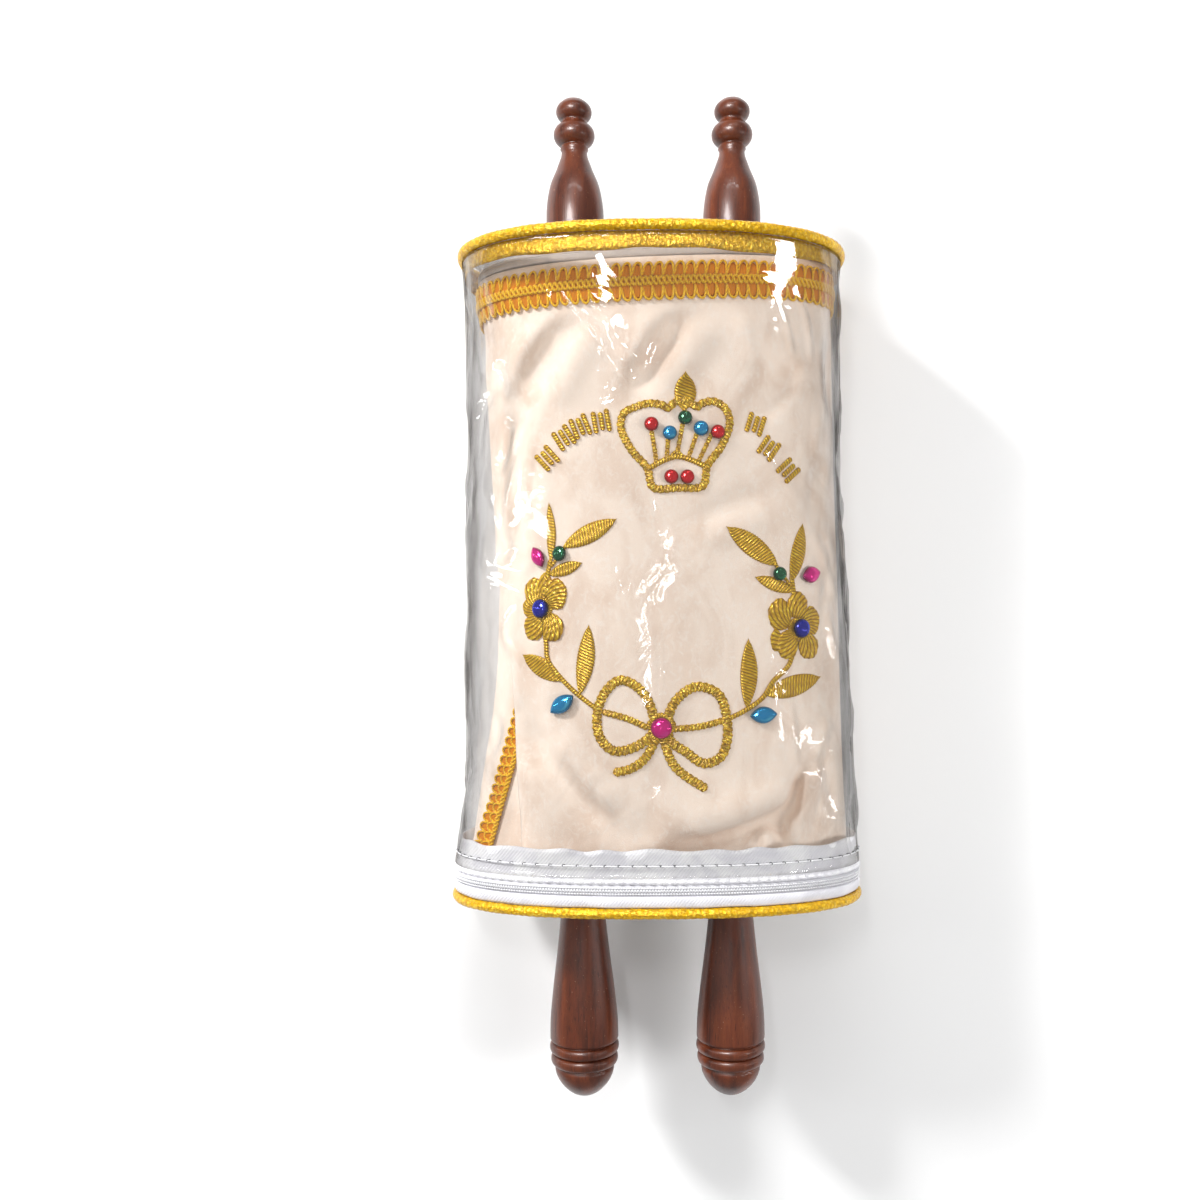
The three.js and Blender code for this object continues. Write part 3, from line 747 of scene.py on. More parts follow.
def lathe(name: str, profile: np.ndarray, side: int, steps: int = 64) -> bpy.types.Object:
    """A turned shape about one roller's leaning axis.

    Args:
        name: the piece's name.
        profile: rows of radius and place along the axis, in order.
        side: -1 for the left roller, 1 for the right one.
        steps: faces round it.

    Returns:
        The turned object.
    """
    count = len(profile) - 1

    def place(u: np.ndarray, v: np.ndarray) -> np.ndarray:
        """Puts a point of the grid on the turned surface."""
        at = np.rint(v * count).astype(int)
        radius, y = profile[at, 0], profile[at, 1]
        turn = 2 * math.pi * u
        middle = side * (ROLLER_OFFSET + y * ROLLER_SPLAY)
        return np.column_stack([middle + radius * np.cos(turn), y, AXIS_HEIGHT + radius * np.sin(turn)])

    return placed_grid(name, steps, count, place, (60.0, path_length(profile)))


# ---------------------------------------------------------------- forms


@dataclass
class Stations:
    """Sizes given at places along the scroll, read in between on a softened line."""

    rows: Points
    softness: float = 22.0
    _y: np.ndarray = field(init=False, repr=False)
    _columns: list[np.ndarray] = field(init=False, repr=False)

    def __post_init__(self) -> None:
        """Softens the straight lines between the stations."""
        table = np.array(self.rows, dtype=float)
        step = 0.5
        self._y = np.arange(table[0, 0] - 40, table[-1, 0] + 40, step)
        window = np.hanning(int(self.softness / step) | 1)
        window /= window.sum()
        half = len(window) // 2
        self._columns = []
        for i in range(1, table.shape[1]):
            column = np.interp(self._y, table[:, 0], table[:, i])
            self._columns.append(np.convolve(np.pad(column, half, mode="edge"), window, mode="valid"))

    def at(self, y: np.ndarray) -> list[np.ndarray]:
        """The sizes at y, one array to a column."""
        return [np.interp(y, self._y, column) for column in self._columns]


def oval(
    angle: np.ndarray,
    left: np.ndarray,
    right: np.ndarray,
    front: np.ndarray | float,
    back: np.ndarray | float,
) -> tuple[np.ndarray, np.ndarray]:
    """A boxy oval.

    Args:
        angle: round it, from its right over its front.
        left: its half width to the left.
        right: its half width to the right.
        front: its depth to the front.
        back: its depth to the back.

    Returns:
        How far to the right and how far up each point is from the middle.
    """
    power = 2 / OVAL_POWER
    cosine, sine = np.cos(angle), np.sin(angle)
    x = np.where(cosine < 0, -left, right) * np.abs(cosine) ** power
    z = np.where(sine < 0, -back, front) * np.abs(sine) ** power
    return x, z


def ring_steps(form: CoverForm | MantleForm, y: float, offset: float) -> tuple[np.ndarray, np.ndarray]:
    """Measures a ring round a form.

    Args:
        form: the form.
        y: the ring's place along the scroll.
        offset: how far outward it lies.

    Returns:
        Angles round the form, and the length round it up to each of them.
    """
    angles = np.linspace(0, 2 * math.pi, 2001)
    ring = form.point(angles, np.full_like(angles, y), offset)
    return angles, np.concatenate([[0], np.cumsum(np.linalg.norm(np.diff(ring, axis=0), axis=1))])


@dataclass
class CoverForm:
    """The outer face of the clear cover: an oval tube, wider and lower towards the zip."""

    back: float = 41.2
    stations: Stations = field(
        default_factory=lambda: Stations(
            (
                (-134, 88.8, 43.6, 0.2),
                (-120, 90.2, 44.0, 0.0),
                (-105, 88.6, 44.6, 0.9),
                (-80, 86.4, 45.6, 1.4),
                (-40, 85.2, 46.6, 1.1),
                (0, 84.2, 47.6, 0.4),
                (50, 82.9, 48.6, -0.3),
                (110, 82.6, 49.6, -0.8),
                (135, 83.6, 50.0, -1.0),
                (152, 84.3, 50.2, -1.1),
            ),
            14.0,
        )
    )

    def point(self, angle: np.ndarray, y: np.ndarray, offset: np.ndarray | float) -> np.ndarray:
        """Points on the cover.

        Args:
            angle: round the scroll, from the right flank over the front.
            y: along the scroll.
            offset: outward from the cover's face.

        Returns:
            Rows of x, y, z in millimetres.
        """
        half, front, lean = self.stations.at(y)
        x, z = oval(angle, half + offset, half + offset, front + offset, self.back + offset)
        floor = np.maximum(-np.asarray(offset), 0)
        return np.column_stack([x + lean, y, np.maximum(AXIS_HEIGHT + z, floor)])

    def turns(self, y: float, count: int) -> tuple[np.ndarray, float]:
        """Angles at even steps of length round the cover, and the length round it."""
        angles, steps = ring_steps(self, y, 0.0)
        return np.interp(np.linspace(0, steps[-1], count + 1), steps, angles), float(steps[-1])


@dataclass(frozen=True)
class Fold:
    """A fold in the velvet: a soft ridge or valley along a line on the front."""

    points: Points
    height: float
    width: float
    taper: float = 0.25

    def lift(self, x: np.ndarray, y: np.ndarray) -> np.ndarray:
        """How far the fold raises the velvet at each place."""
        distance, share = nearest_on(even_curve(self.points, 14), x, y)
        ends = smoothstep(share, 0, self.taper) * smoothstep(1 - share, 0, self.taper)
        return self.height * (0.25 + 0.75 * ends) * np.exp(-((distance / self.width) ** 2))


FOLDS = (
    Fold(((-33, 116), (-45, 101), (-56, 84)), -3.4, 6),
    Fold(((-44, 117), (-58, 100), (-66, 82)), 1.6, 6),
    Fold(((-22, 112), (-34, 96), (-44, 78)), 1.6, 7),
    Fold(((-58.5, 84), (-59.5, 50), (-57, 16)), -2.6, 5),
    Fold(((-66, 82), (-66.5, 50), (-66, 20)), 1.8, 4.5),
    Fold(((14.5, 119), (6, 106), (-2.5, 94), (-9, 82)), -4.2, 5),
    Fold(((3, 117), (-6, 104), (-12, 93)), 2.2, 5.5),
    Fold(((26, 115), (17, 102), (9, 92), (4, 84)), 2.4, 7),
    Fold(((43, 113), (55, 97), (49, 84), (38, 72)), -4.0, 6),
    Fold(((56, 116), (66, 98), (62, 84)), 2.0, 5),
    Fold(((36, 118), (40, 105), (42, 92)), 2.0, 5),
    Fold(((64, 119), (70, 104), (72, 88)), -2.4, 4),
    Fold(((18, 31), (33, 37), (48, 42)), -1.7, 5),
    Fold(((20, 22), (36, 28), (52, 34)), 1.1, 6),
    Fold(((-56, -50), (-44, -70), (-31, -86), (-17, -100)), -2.6, 5),
    Fold(((-45, -58), (-30, -76), (-12, -92)), 1.8, 6),
    Fold(((-57, -68), (-47, -88), (-37, -106)), 1.6, 6),
    Fold(((3, -107), (22, -103), (40, -98), (57, -91)), -6.5, 3.6),
    Fold(((6, -95), (24, -94), (42, -88), (60, -80)), 5.4, 6.0),
    Fold(((62, -74), (57, -88), (52, -96), (53, -106)), -5.0, 3.0),
    Fold(((69, -70), (66, -86), (60, -98), (62, -108)), 4.6, 4.4),
    Fold(((43, -97), (46, -103), (44, -110)), 2.8, 2.8),
    Fold(((74, -66), (73, -84), (70, -98)), -3.4, 3.6),
    Fold(((72, -30), (73, -60), (74, -90)), 1.8, 5),
    Fold(((52, -56), (54, -68), (52, -80)), 1.4, 6),
    Fold(((-4, -86), (10, -87), (26, -84)), 1.2, 7),
    Fold(((72, 80), (66, 50), (68, 10), (72, -30)), -1.6, 5),
)


@dataclass
class MantleForm:
    """The outer face of the velvet: snug on the left roll, loose on the right, with its folds."""

    front: float = 36.5
    back: float = 36.0
    floor: float = 3.6
    tilt: float = math.tan(math.radians(2))
    stations: Stations = field(
        default_factory=lambda: Stations(
            (
                (-118, 85, 84),
                (-85, 79, 82.5),
                (-50, 73, 81.5),
                (-30, 71, 80.8),
                (30, 70.2, 79.5),
                (115, 75, 78.6),
                (140.9, 78.5, 78.5),
            )
        )
    )

    def _folds(self, x: np.ndarray, y: np.ndarray) -> np.ndarray:
        """The height of the folds over the front, dying away under the braid."""
        lift = np.zeros_like(x)
        for fold in FOLDS:
            lift += fold.lift(x, y)
        lift += 0.55 * np.sin(x / 9.0 + 1.3 * np.sin(y / 31.0)) * np.sin(y / 23.0 + x / 40.0)
        lift += 0.25 * np.sin(x / 3.7 + y / 9.0) * smoothstep(y, 70, 112)
        fade = 1 - smoothstep(y - x * self.tilt, 112, 122)
        high = 4.6 + 1.9 * smoothstep(y, -104, -80)
        lift = np.where(lift > 0, high * np.tanh(1.5 * lift / high), 4.5 * np.tanh(1.5 * lift / 4.5))
        return lift * fade

    def _flank(self, angle: np.ndarray, y: np.ndarray) -> np.ndarray:
        """Soft gathers round the flanks and back, deeper towards the hem."""
        depth = 0.5 + 1.1 * smoothstep(-y, -60, 110)
        wave = np.sin(9 * angle + 1.6 * np.sin(y / 45.0)) + 0.5 * np.sin(17 * angle + y / 30.0)
        return depth * wave * (1 - smoothstep(y, 100, 120))

    def point(self, angle: np.ndarray, y: np.ndarray, offset: np.ndarray | float) -> np.ndarray:
        """Points on the velvet.

        Args:
            angle: round the scroll, from the right flank over the front.
            y: along the scroll.
            offset: outward from the velvet's face.

        Returns:
            Rows of x, y, z in millimetres.
        """
        left, right = self.stations.at(y)
        spread = offset + self._flank(angle, y) * smoothstep(-np.sin(angle), -0.62, -0.25)
        x, z = oval(angle, left + spread, right + spread, self.front + offset, self.back + spread)
        askew = smoothstep(y, 30, 124.9)
        y_out = y + x * self.tilt * askew
        level = np.maximum(AXIS_HEIGHT + z, self.floor - offset)
        front = smoothstep(np.sin(angle), 0.12, 0.5)
        return np.column_stack([x, y_out, level + front * self._folds(x, y_out)])

    def under(self, turn: np.ndarray, y: np.ndarray) -> np.ndarray:
        """How far in the layer under the front edge is tucked, by degrees round and by y."""
        tuck = 2.2 * smoothstep(-turn, -208, -182)
        return -tuck - 5.6 * smoothstep(-turn, -170, -142) * smoothstep(-y, 10, 50)

    def height(self, x: np.ndarray, y: np.ndarray) -> np.ndarray:
        """The height of the velvet's front over each place of the design."""
        left, right = self.stations.at(y)
        share = np.clip(np.abs(x) / np.where(x < 0, left, right), 0, 0.999)
        sine = np.clip((1 - share**OVAL_POWER), 0, 1) ** 0.5
        z = self.front * (1 - share**OVAL_POWER) ** (1 / OVAL_POWER)
        return AXIS_HEIGHT + z + smoothstep(sine, 0.12, 0.5) * self._folds(x, y)

    def normal(self, x: np.ndarray, y: np.ndarray, step: float = 1.2) -> np.ndarray:
        """The direction away from the velvet's front."""
        slope_x = (self.height(x + step, y) - self.height(x - step, y)) / (2 * step)
        slope_y = (self.height(x, y + step) - self.height(x, y - step)) / (2 * step)
        return unit_rows(np.column_stack([-slope_x, -slope_y, np.ones_like(x)]))


# ---------------------------------------------------------------- rollers and parchment


def bead(radius: float, y: float, width: float, height: float, low: float, high: float) -> list:
    """Points of one rounded bead of a turned profile.

    Args:
        radius: how far its middle is from the axis.
        y: its middle's place along the axis.
        width: how far it stands out.
        height: half its length.
        low: the angle it starts at, in degrees.
        high: the angle it ends at.

    Returns:
        Rows of radius and place along the axis.
    """
    angles = [math.radians(low + (high - low) * i / 12) for i in range(13)]
    return [(radius + width * math.cos(a), y + height * math.sin(a)) for a in angles]


@dataclass
class Rollers:
    """The two turned wooden rollers, from the domed handle to the knobbed finial."""

    dome: Points = (
        (0, -223), (3.8, -222.1), (7.6, -219.8), (10.9, -216.2), (12.8, -212.4), (13.2, -209.8),
    )
    handle: Points = (
        (15.25, -196.2), (14.95, -187), (13.6, -174), (11.5, -157), (9.75, -140), (9.4, -129),
        (6.6, -121),
    )
    pear: Points = (
        (6.6, 128), (9.6, 143), (11.3, 151), (12.5, 162), (12.75, 173), (11.2, 183.3), (8.3, 190.8),
        (6.1, 196.8),
    )

    def profile(self) -> np.ndarray:
        """Rows of radius and place along the axis, from dome to finial."""
        rows = [tuple(p) for p in even_curve(self.dome, 16)]
        rows += [(12.5, -208.9), (12.5, -208.4)]
        rows += bead(13.6, -205.8, 1.35, 2.35, -80, 80)
        rows += [(13.1, -203.4), (13.1, -203.0)]
        rows += bead(14.1, -200.6, 1.35, 2.2, -80, 80)
        rows += [(13.6, -198.3), (13.7, -197.9), (14.8, -197.4), (15.2, -196.8)]
        rows += [tuple(p) for p in even_curve(self.handle, 40)]
        rows += [(6.6, 0)]
        rows += [tuple(p) for p in even_curve(self.pear, 40)]
        rows += [(5.8, 198.2), (5.7, 199.6), (6.3, 200.6), (5.8, 201.5), (5.6, 202.2)]
        rows += bead(4.6, 207.0, 4.65, 4.85, -74, 74)
        rows += [(5.5, 211.9), (5.5, 213.0)]
        rows += bead(3.6, 217.4, 4.45, 4.3, -66, 40)
        rows += [(6.3, 220.9), (5.0, 222.0), (3.2, 222.7), (1.6, 222.95), (0, 223)]
        return np.array(rows)

    def build(self) -> None:
        """Turns both rollers."""
        for name, side in (("roller_left", -1), ("roller_right", 1)):
            roller = lathe("turned_" + name, self.profile(), side)
            settle(dress(roller, WOOD), "wood", name)


@dataclass
class Parchment:
    """The sheet wound on both rollers, its wraps showing as fine steps at the ends."""

    radius: float = 29.6
    bore: float = 7.2
    low: float = -116.0
    high: float = 108.0
    wraps: int = 11

    def _end(self, y: float, outward: int) -> list[tuple[float, float]]:
        """The stepped wraps of one end, from the bore outward."""
        chooser = random.Random(5 + outward)
        rows = []
        step = (self.radius - self.bore) / self.wraps
        for i in range(self.wraps):
            slip = outward * (chooser.uniform(-0.5, 0.5) - 0.5)
            inner = self.bore + i * step
            rows += [(inner, y + slip), (inner + 0.86 * step, y + slip)]
            rows.append((inner + 0.93 * step, y + slip - outward))
        return rows

    def build(self) -> None:
        """Winds both rolls and lays the single layer that passes between them."""
        parts = []
        rows = [(self.bore, self.low), *self._end(self.low, -1), (self.radius, self.low)]
        rows += [(self.radius, self.high), *reversed(self._end(self.high, 1)), (self.bore, self.high)]
        rows.append((self.bore, self.low))
        for side in (-1, 1):
            parts.append(lathe("roll", np.array(rows), side, 48))
        bpy.ops.object.select_all(action="DESELECT")
        span = 2 * (ROLLER_OFFSET - 4)
        place = (0, -4 * MM, (AXIS_HEIGHT + self.radius - 1.2) * MM)
        bpy.ops.mesh.primitive_cube_add(size=1, location=place)
        web = bpy.context.object
        web.scale = (span * MM, 222 * MM, 0.5 * MM)
        bpy.ops.object.transform_apply(location=True, rotation=False, scale=True)
        parts.append(web)
        settle(dress(join("wound_parchment", parts), PARCHMENT), "paper", "parchment_scroll")


# ---------------------------------------------------------------- mantle


@dataclass
class GimpBraid:
    """A gold gimp braid: two rows of looped cord with a plait or a twisted cord between or beside them.

    place turns along, across and lift, in millimetres, into points.
    """

    name: str
    length: float
    place: Callable[[np.ndarray, np.ndarray, np.ndarray], np.ndarray]
    loops: int
    rows: tuple[tuple[float, float, int], ...]  # middle, half reach and side of each looped cord
    plaits: tuple[tuple[float, float], ...]  # middle and half reach of each plait
    fill: tuple[float, float]
    closed: bool = False
    cord: float = 0.56
    loop_swing: float = 0.64

    def _cord(
        self, along: np.ndarray, across: np.ndarray, lift: np.ndarray, radius: float
    ) -> bpy.types.Object:
        """Lays a cord on the braid and closes it where the braid is a ring.

        Args:
            along: places along the braid.
            across: places across it.
            lift: heights above the velvet.
            radius: the cord's radius.

        Returns:
            The cord.
        """
        if self.closed:
            along[-1] = along[0] + self.length
            across[-1] = across[0]
            lift[-1] = lift[0]
        path = self.place(along, across, lift)
        up = unit_rows(self.place(along, across, lift + 0.5) - path)
        return cord_mesh("cord", path, up, np.full(len(path), radius), 6, self.closed)

    def _loops(self, middle: float, reach: float, side: int) -> bpy.types.Object:
        """One row of loops, drawn by a cord that doubles back on itself."""
        steps = 14 * self.loops
        turn = 2 * math.pi * np.arange(steps + 1) * self.loops / steps
        pitch = self.length / self.loops
        uneven = 1 + 0.07 * np.sin(turn / 5.3) + 0.05 * np.sin(turn / 2.7)
        along = pitch * turn / (2 * math.pi) - self.loop_swing * np.sin(turn) * uneven
        along += 0.45 * np.cos(turn)
        swing = -np.sign(np.cos(turn)) * np.abs(np.cos(turn)) ** 0.62
        across = middle + side * reach * swing * (1 + 0.04 * np.sin(turn / 3.9))
        lift = 0.75 + 0.35 * np.sin(turn * 0.5 + 1.0) ** 2
        return self._cord(along, across, lift, self.cord)

    def _plait(self, middle: float, reach: float, phase: float) -> bpy.types.Object:
        """One strand of the plait."""
        steps = 10 * self.loops
        turn = 2 * math.pi * np.arange(steps + 1) * self.loops / steps
        along = self.length * np.arange(steps + 1) / steps
        across = middle + reach * np.sin(turn + phase)
        lift = 1.3 + 0.35 * np.cos(turn + phase)
        return self._cord(along, across, lift, self.cord * 1.25)

    def _filling(self) -> bpy.types.Object:
        """The ribbed core behind the cords, scalloped to stay inside the loops."""
        low, high = self.fill
        steps = 8 * self.loops

        def place(u: np.ndarray, v: np.ndarray) -> np.ndarray:
            """Puts a point of the grid round the core."""
            turn = 2 * math.pi * u
            scallop = 0.5 + 0.5 * np.cos(2 * math.pi * v * self.loops)
            half = (high - low) / 2 - 2.2 * scallop**2
            across = (low + high) / 2 + half * np.cos(turn)
            lift = 0.55 + 0.4 * np.sin(turn)
            return self.place(v * self.length, across, lift)

        return placed_grid("filling", 12, steps, place, (2 * (high - low), self.length))

    def build(self) -> bpy.types.Object:
        """Makes the cords and the core and joins them.

        Returns:
            The braid, with the cord's finish and the core's.
        """
        parts = [dress(self._loops(*row), CORD) for row in self.rows]
        for middle, reach in self.plaits:
            for phase in (0.0, math.pi):
                parts.append(dress(self._plait(middle, reach, phase), CORD))
        parts.append(dress(self._filling(), BRAID_FILL))
        return join(self.name, parts)


@dataclass
class Mantle:
    """The velvet mantle with its satin-covered top board and its two braids."""

    form: MantleForm
    low: float = -116.6
    high: float = 140.6
    thickness: float = 1.4
    columns: int = 240
    rows: int = 190
    flap: Points = ((-116, 128), (-94, 132), (-54, 142), (-18, 152), (20, 168), (60, 172), (141, 172))

    def velvet(self) -> None:
        """Cuts the velvet as one sheet that goes round the scroll and on under its own front edge."""
        flap = np.array(self.flap, dtype=float)

        def place(u: np.ndarray, v: np.ndarray) -> np.ndarray:
            """Lays a point of the sheet on the mantle."""
            y = self.low + (self.high - self.low) * v
            start = np.radians(np.interp(y, flap[:, 0], flap[:, 1]))
            end = np.radians(-212 - 24 * smoothstep(-y, 0, 50))
            middle = math.radians(-14)
            share = 0.62
            first = start + (middle - start) * u / share
            second = middle + (end - middle) * (u - share) / (1 - share)
            angle = np.where(u < share, first, second)
            open_hem = 1 - smoothstep(y, 96, 122)
            over = 0.9 * smoothstep(angle - start, -0.22, -0.08) * open_hem
            roll = 1.2 * smoothstep(angle - start, -0.05, 0.0) * open_hem
            under = np.where(angle < -2.0, self.form.under(np.degrees(angle) + 360, y), 0.0)
            points = self.form.point(angle, y, over - roll + under)
            points[:, 1] += (0.9 * np.sin(angle * 7) + 0.6 * np.sin(angle * 3)) * smoothstep(-y, 96, 116)
            return points

        sheet = placed_grid("velvet_mantle", self.columns, self.rows, place, (420.0, 262.0), close=False)
        select_only(sheet)
        solidify = sheet.modifiers.new("thickness", "SOLIDIFY")
        solidify.thickness = self.thickness * MM
        solidify.offset = -1.0
        bpy.ops.object.modifier_apply(modifier=solidify.name)
        bpy.ops.object.shade_smooth()
        dress(sheet, VELVET)
        settle(sheet, "velvet", "mantle")

    def board(self) -> None:
        """Covers the top board in satin, with a sewn edge and a hole for each finial."""
        rows = (
            (0.0, 141.2), (0.97, 141.2), (0.995, 141.5), (1.0, 142.1), (1.0, 143.6),
            (0.992, 143.9), (0.996, 144.2), (0.99, 145.4), (0.97, 146.0), (0.93, 146.2), (0.0, 146.2),
        )
        profile = np.array(rows)
        fine = np.interp(np.linspace(0, 1, 31), np.linspace(0, 1, len(profile)), np.arange(len(profile)))

        def place(u: np.ndarray, v: np.ndarray) -> np.ndarray:
            """Puts a point of the grid on the board."""
            at = np.interp(v, np.linspace(0, 1, 31), fine)
            reach = np.interp(at, np.arange(len(profile)), profile[:, 0])
            y = np.interp(at, np.arange(len(profile)), profile[:, 1])
            rim = self.form.point(2 * math.pi * u, y, 0.0)
            middle = np.array([0.0, 0.0, AXIS_HEIGHT])
            out = rim.copy()
            out[:, 0] = rim[:, 0] * reach
            out[:, 2] = middle[2] + (rim[:, 2] - middle[2]) * reach
            out[:, 1] = y + out[:, 0] * self.form.tilt + 0.15 * np.sin(40 * u) * (reach > 0.9)
            return out

        board = placed_grid("satin_top_board", 120, 30, place, (430.0, 12.0))
        cut_roller_holes(board, 143.7, FINIAL_HOLE)
        settle(dress(board, SATIN), "satin", "mantle_top_board")

    def top_braid(self) -> None:
        """Sews the gimp braid round the top edge."""
        middle_y = 129.9
        angles, steps = ring_steps(self.form, middle_y, 0.3)
        length = float(steps[-1])

        def place(along: np.ndarray, across: np.ndarray, lift: np.ndarray) -> np.ndarray:
            """Lays a point of the braid round the mantle."""
            angle = np.interp(np.mod(along, length), steps, angles)
            return self.form.point(angle, middle_y + across, lift)

        braid = GimpBraid(
            "top_gimp_braid", length, place, round(length / BRAID_PITCH),
            ((5.2, 2.7, 1), (-4.8, 2.7, -1)), ((0.25, 1.6),), (-6.9, 7.3), closed=True,
        )
        settle(braid.build(), "braid", "mantle_braid_top")

    def side_braid(self) -> None:
        """Sews the second braid along the open flank, leaning out towards the hem."""
        top, bottom = -44.0, -114.5
        length = top - bottom

        def place(along: np.ndarray, across: np.ndarray, lift: np.ndarray) -> np.ndarray:
            """Lays a point of the braid down the flank."""
            y = top - along
            turn = 146 + 15 * along / length + np.degrees(across / 62.0)
            return self.form.point(np.radians(turn), y, lift + self.form.under(turn, y))

        braid = GimpBraid(
            "side_gimp_braid", length, place, 17,
            ((4.6, 2.2, 1), (0.2, 2.2, 1)), ((-4.2, 1.2),), (-5.2, 6.2), cord=0.5,
        )
        settle(braid.build(), "braid", "mantle_braid_side")

    def build(self) -> None:
        """Makes the board, the velvet and the braids."""
        self.board()
        self.velvet()
        self.top_braid()
        self.side_braid()


def cut_roller_holes(plate: bpy.types.Object, y: float, radius: float) -> None:
    """Cuts a round hole for each roller through a plate that lies across the scroll.

    Args:
        plate: the plate.
        y: its place along the scroll.
        radius: the holes' radius.
    """
    for side in (-1, 1):
        bpy.ops.object.select_all(action="DESELECT")
        bpy.ops.mesh.primitive_cylinder_add(
            vertices=64,
            radius=radius * MM,
            depth=16 * MM,
            location=(side * (ROLLER_OFFSET + y * ROLLER_SPLAY) * MM, y * MM, AXIS_HEIGHT * MM),
            rotation=(math.pi / 2, 0, 0),
        )
        drill = bpy.context.object
        select_only(plate)
        cut = plate.modifiers.new("hole", "BOOLEAN")
        cut.operation = "DIFFERENCE"
        cut.object = drill
        cut.solver = "EXACT"
        bpy.ops.object.modifier_apply(modifier=cut.name)
        bpy.data.objects.remove(drill)
    select_only(plate)
    bpy.ops.object.shade_smooth_by_angle(angle=math.radians(35))


# ---------------------------------------------------------------- embroidery and stones


class Stitch(Enum):
    """How a shape is stitched."""

    LEAF = "leaf"
    STEM = "stem"
    ROPE = "rope"


@dataclass
class Embroidery:
    """The gold satin-stitch design on the velvet's front, raised and ribbed like real thread."""

    form: MantleForm
    height: float = 0.85
    sunk: float = 0.5

    def strip(self, points: Points, width: float, stitch: Stitch, closed: bool = False) -> bpy.types.Object:
        """One stitched shape along a line.

        Args:
            points: the middle line in millimetres.
            width: the full width.
            stitch: how it is stitched.
            closed: whether the line is a ring.

        Returns:
            The raised shape, lying on the velvet.
        """
        length = path_length(even_curve(points, 60, closed))
        count = max(8, int(length / 0.42))
        path = even_curve(points, count, closed)
        along = np.gradient(path, axis=0)
        if closed:
            along[0] = along[-1] = path[1] - path[-2]
        along = unit_rows(along)
        beside = np.column_stack([-along[:, 1], along[:, 0]])
        share = np.linspace(0, 1, count + 1)
        run = share * length
        half = np.full(count + 1, width / 2)
        if stitch is Stitch.LEAF:
            half = width * 2 * share * (1 - share) * (1 + 0.04 * np.sin(run * 5.1))
        elif stitch is Stitch.ROPE:
            half *= 1 + 0.1 * np.sin(run * 2.6) + 0.07 * np.sin(run * 6.3 + 1)
        else:
            half *= 1 + 0.06 * np.sin(run * 4.5)
        if not closed:
            half *= np.clip(np.minimum(run, length - run) / (0.4 * width), 0, 1) ** 0.5
        sides = 16 if stitch is Stitch.LEAF or width > 3 else 10

        def place(u: np.ndarray, v: np.ndarray) -> np.ndarray:
            """Puts a point of the grid on the stitched shape."""
            at = np.rint(v * count).astype(int)
            turn = 2 * math.pi * u
            side = np.cos(turn)
            reach = half[at] * side
            x = path[at, 0] + beside[at, 0] * reach
            y = path[at, 1] + beside[at, 1] * reach + DESIGN_Y
            dome = np.abs(np.sin(turn)) ** 0.7
            where = run[at]
            if stitch is Stitch.LEAF:
                rib = 0.16 * np.sin((where - 0.8 * np.abs(reach)) * 2 * math.pi / 0.95)
                vein = -0.42 * np.exp(-((reach / 0.45) ** 2)) * (half[at] > 0.8)
                lift = self.height * dome + (rib + vein) * dome
            elif stitch is Stitch.ROPE:
                cross = np.abs(np.sin(where * 1.6 + 1.9 * reach))
                cross *= np.abs(np.sin(where * 1.25 - 2.1 * reach + 1))
                lift = dome * (self.height * 0.6 + cross)
            else:
                band = 0.3 * np.abs(np.sin(where * math.pi / 3.3)) ** 0.4
                twist = 0.1 * np.sin(where * 2 * math.pi / 1.1 + 1.6 * reach)
                lift = dome * (self.height - 0.1 + band + twist)
            lift = np.where(np.sin(turn) > 0, lift, -self.sunk * dome) * np.clip(half[at] / 0.6, 0, 1)
            return np.column_stack([x, y, self.form.height(x, y) + lift])

        shape = placed_grid("stitches", sides, count, place, (width * 2, length))
        return dress(shape, CROSSED_THREAD if stitch is Stitch.ROPE else THREAD)

    def flower(self, centre: tuple[float, float], petals: Points) -> list[bpy.types.Object]:
        """Petals round a middle.

        Args:
            centre: the flower's middle.
            petals: each petal's middle and its two half sizes, lowest first.

        Returns:
            The petals, each lying a little over the one before.
        """
        beds = ((centre[0], centre[1], 4.6, 5.4), *petals)
        return [self.petal(centre, bed, 0.13 * i) for i, bed in enumerate(beds)]

    def petal(
        self, centre: tuple[float, float], size: tuple[float, ...], step: float
    ) -> bpy.types.Object:
        """One rounded petal with ribs that fan out from the flower's middle.

        Args:
            centre: the flower's middle.
            size: the petal's middle and its two half sizes.
            step: how much higher it lies than the lowest petal.

        Returns:
            The petal.
        """
        middle_x, middle_y, half_x, half_y = size

        def place(u: np.ndarray, v: np.ndarray) -> np.ndarray:
            """Puts a point of the grid on the petal."""
            turn = 2 * math.pi * u
            under = v < 0.2
            share = np.where(under, v / 0.2, (1 - v) / 0.8)
            edge = 1 + 0.03 * np.sin(5 * turn) + 0.025 * np.sin(13 * turn + middle_x)
            x = middle_x + half_x * share * edge * np.cos(turn)
            y = middle_y + half_y * share * edge * np.sin(turn)
            fan = np.arctan2(y - centre[1], x - centre[0])
            reach = np.hypot(x - centre[0], y - centre[1])
            rib = 0.1 * np.sin(34 * fan) + 0.07 * np.sin(2.6 * reach)
            rim = 0.25 * np.exp(-(((share - 0.86) / 0.09) ** 2))
            dome = np.clip(1 - share**6, 0, 1)
            lift = np.where(under, -self.sunk, dome * (self.height * 0.75 + step + rib + rim))
            y = y + DESIGN_Y
            return np.column_stack([x, y, self.form.height(x, y) + lift])

        petal = placed_grid("petal", 40, 20, place, (1.0, 1.0))
        self._fan_layout(petal, (centre[0], centre[1] + DESIGN_Y))
        return dress(petal, THREAD)

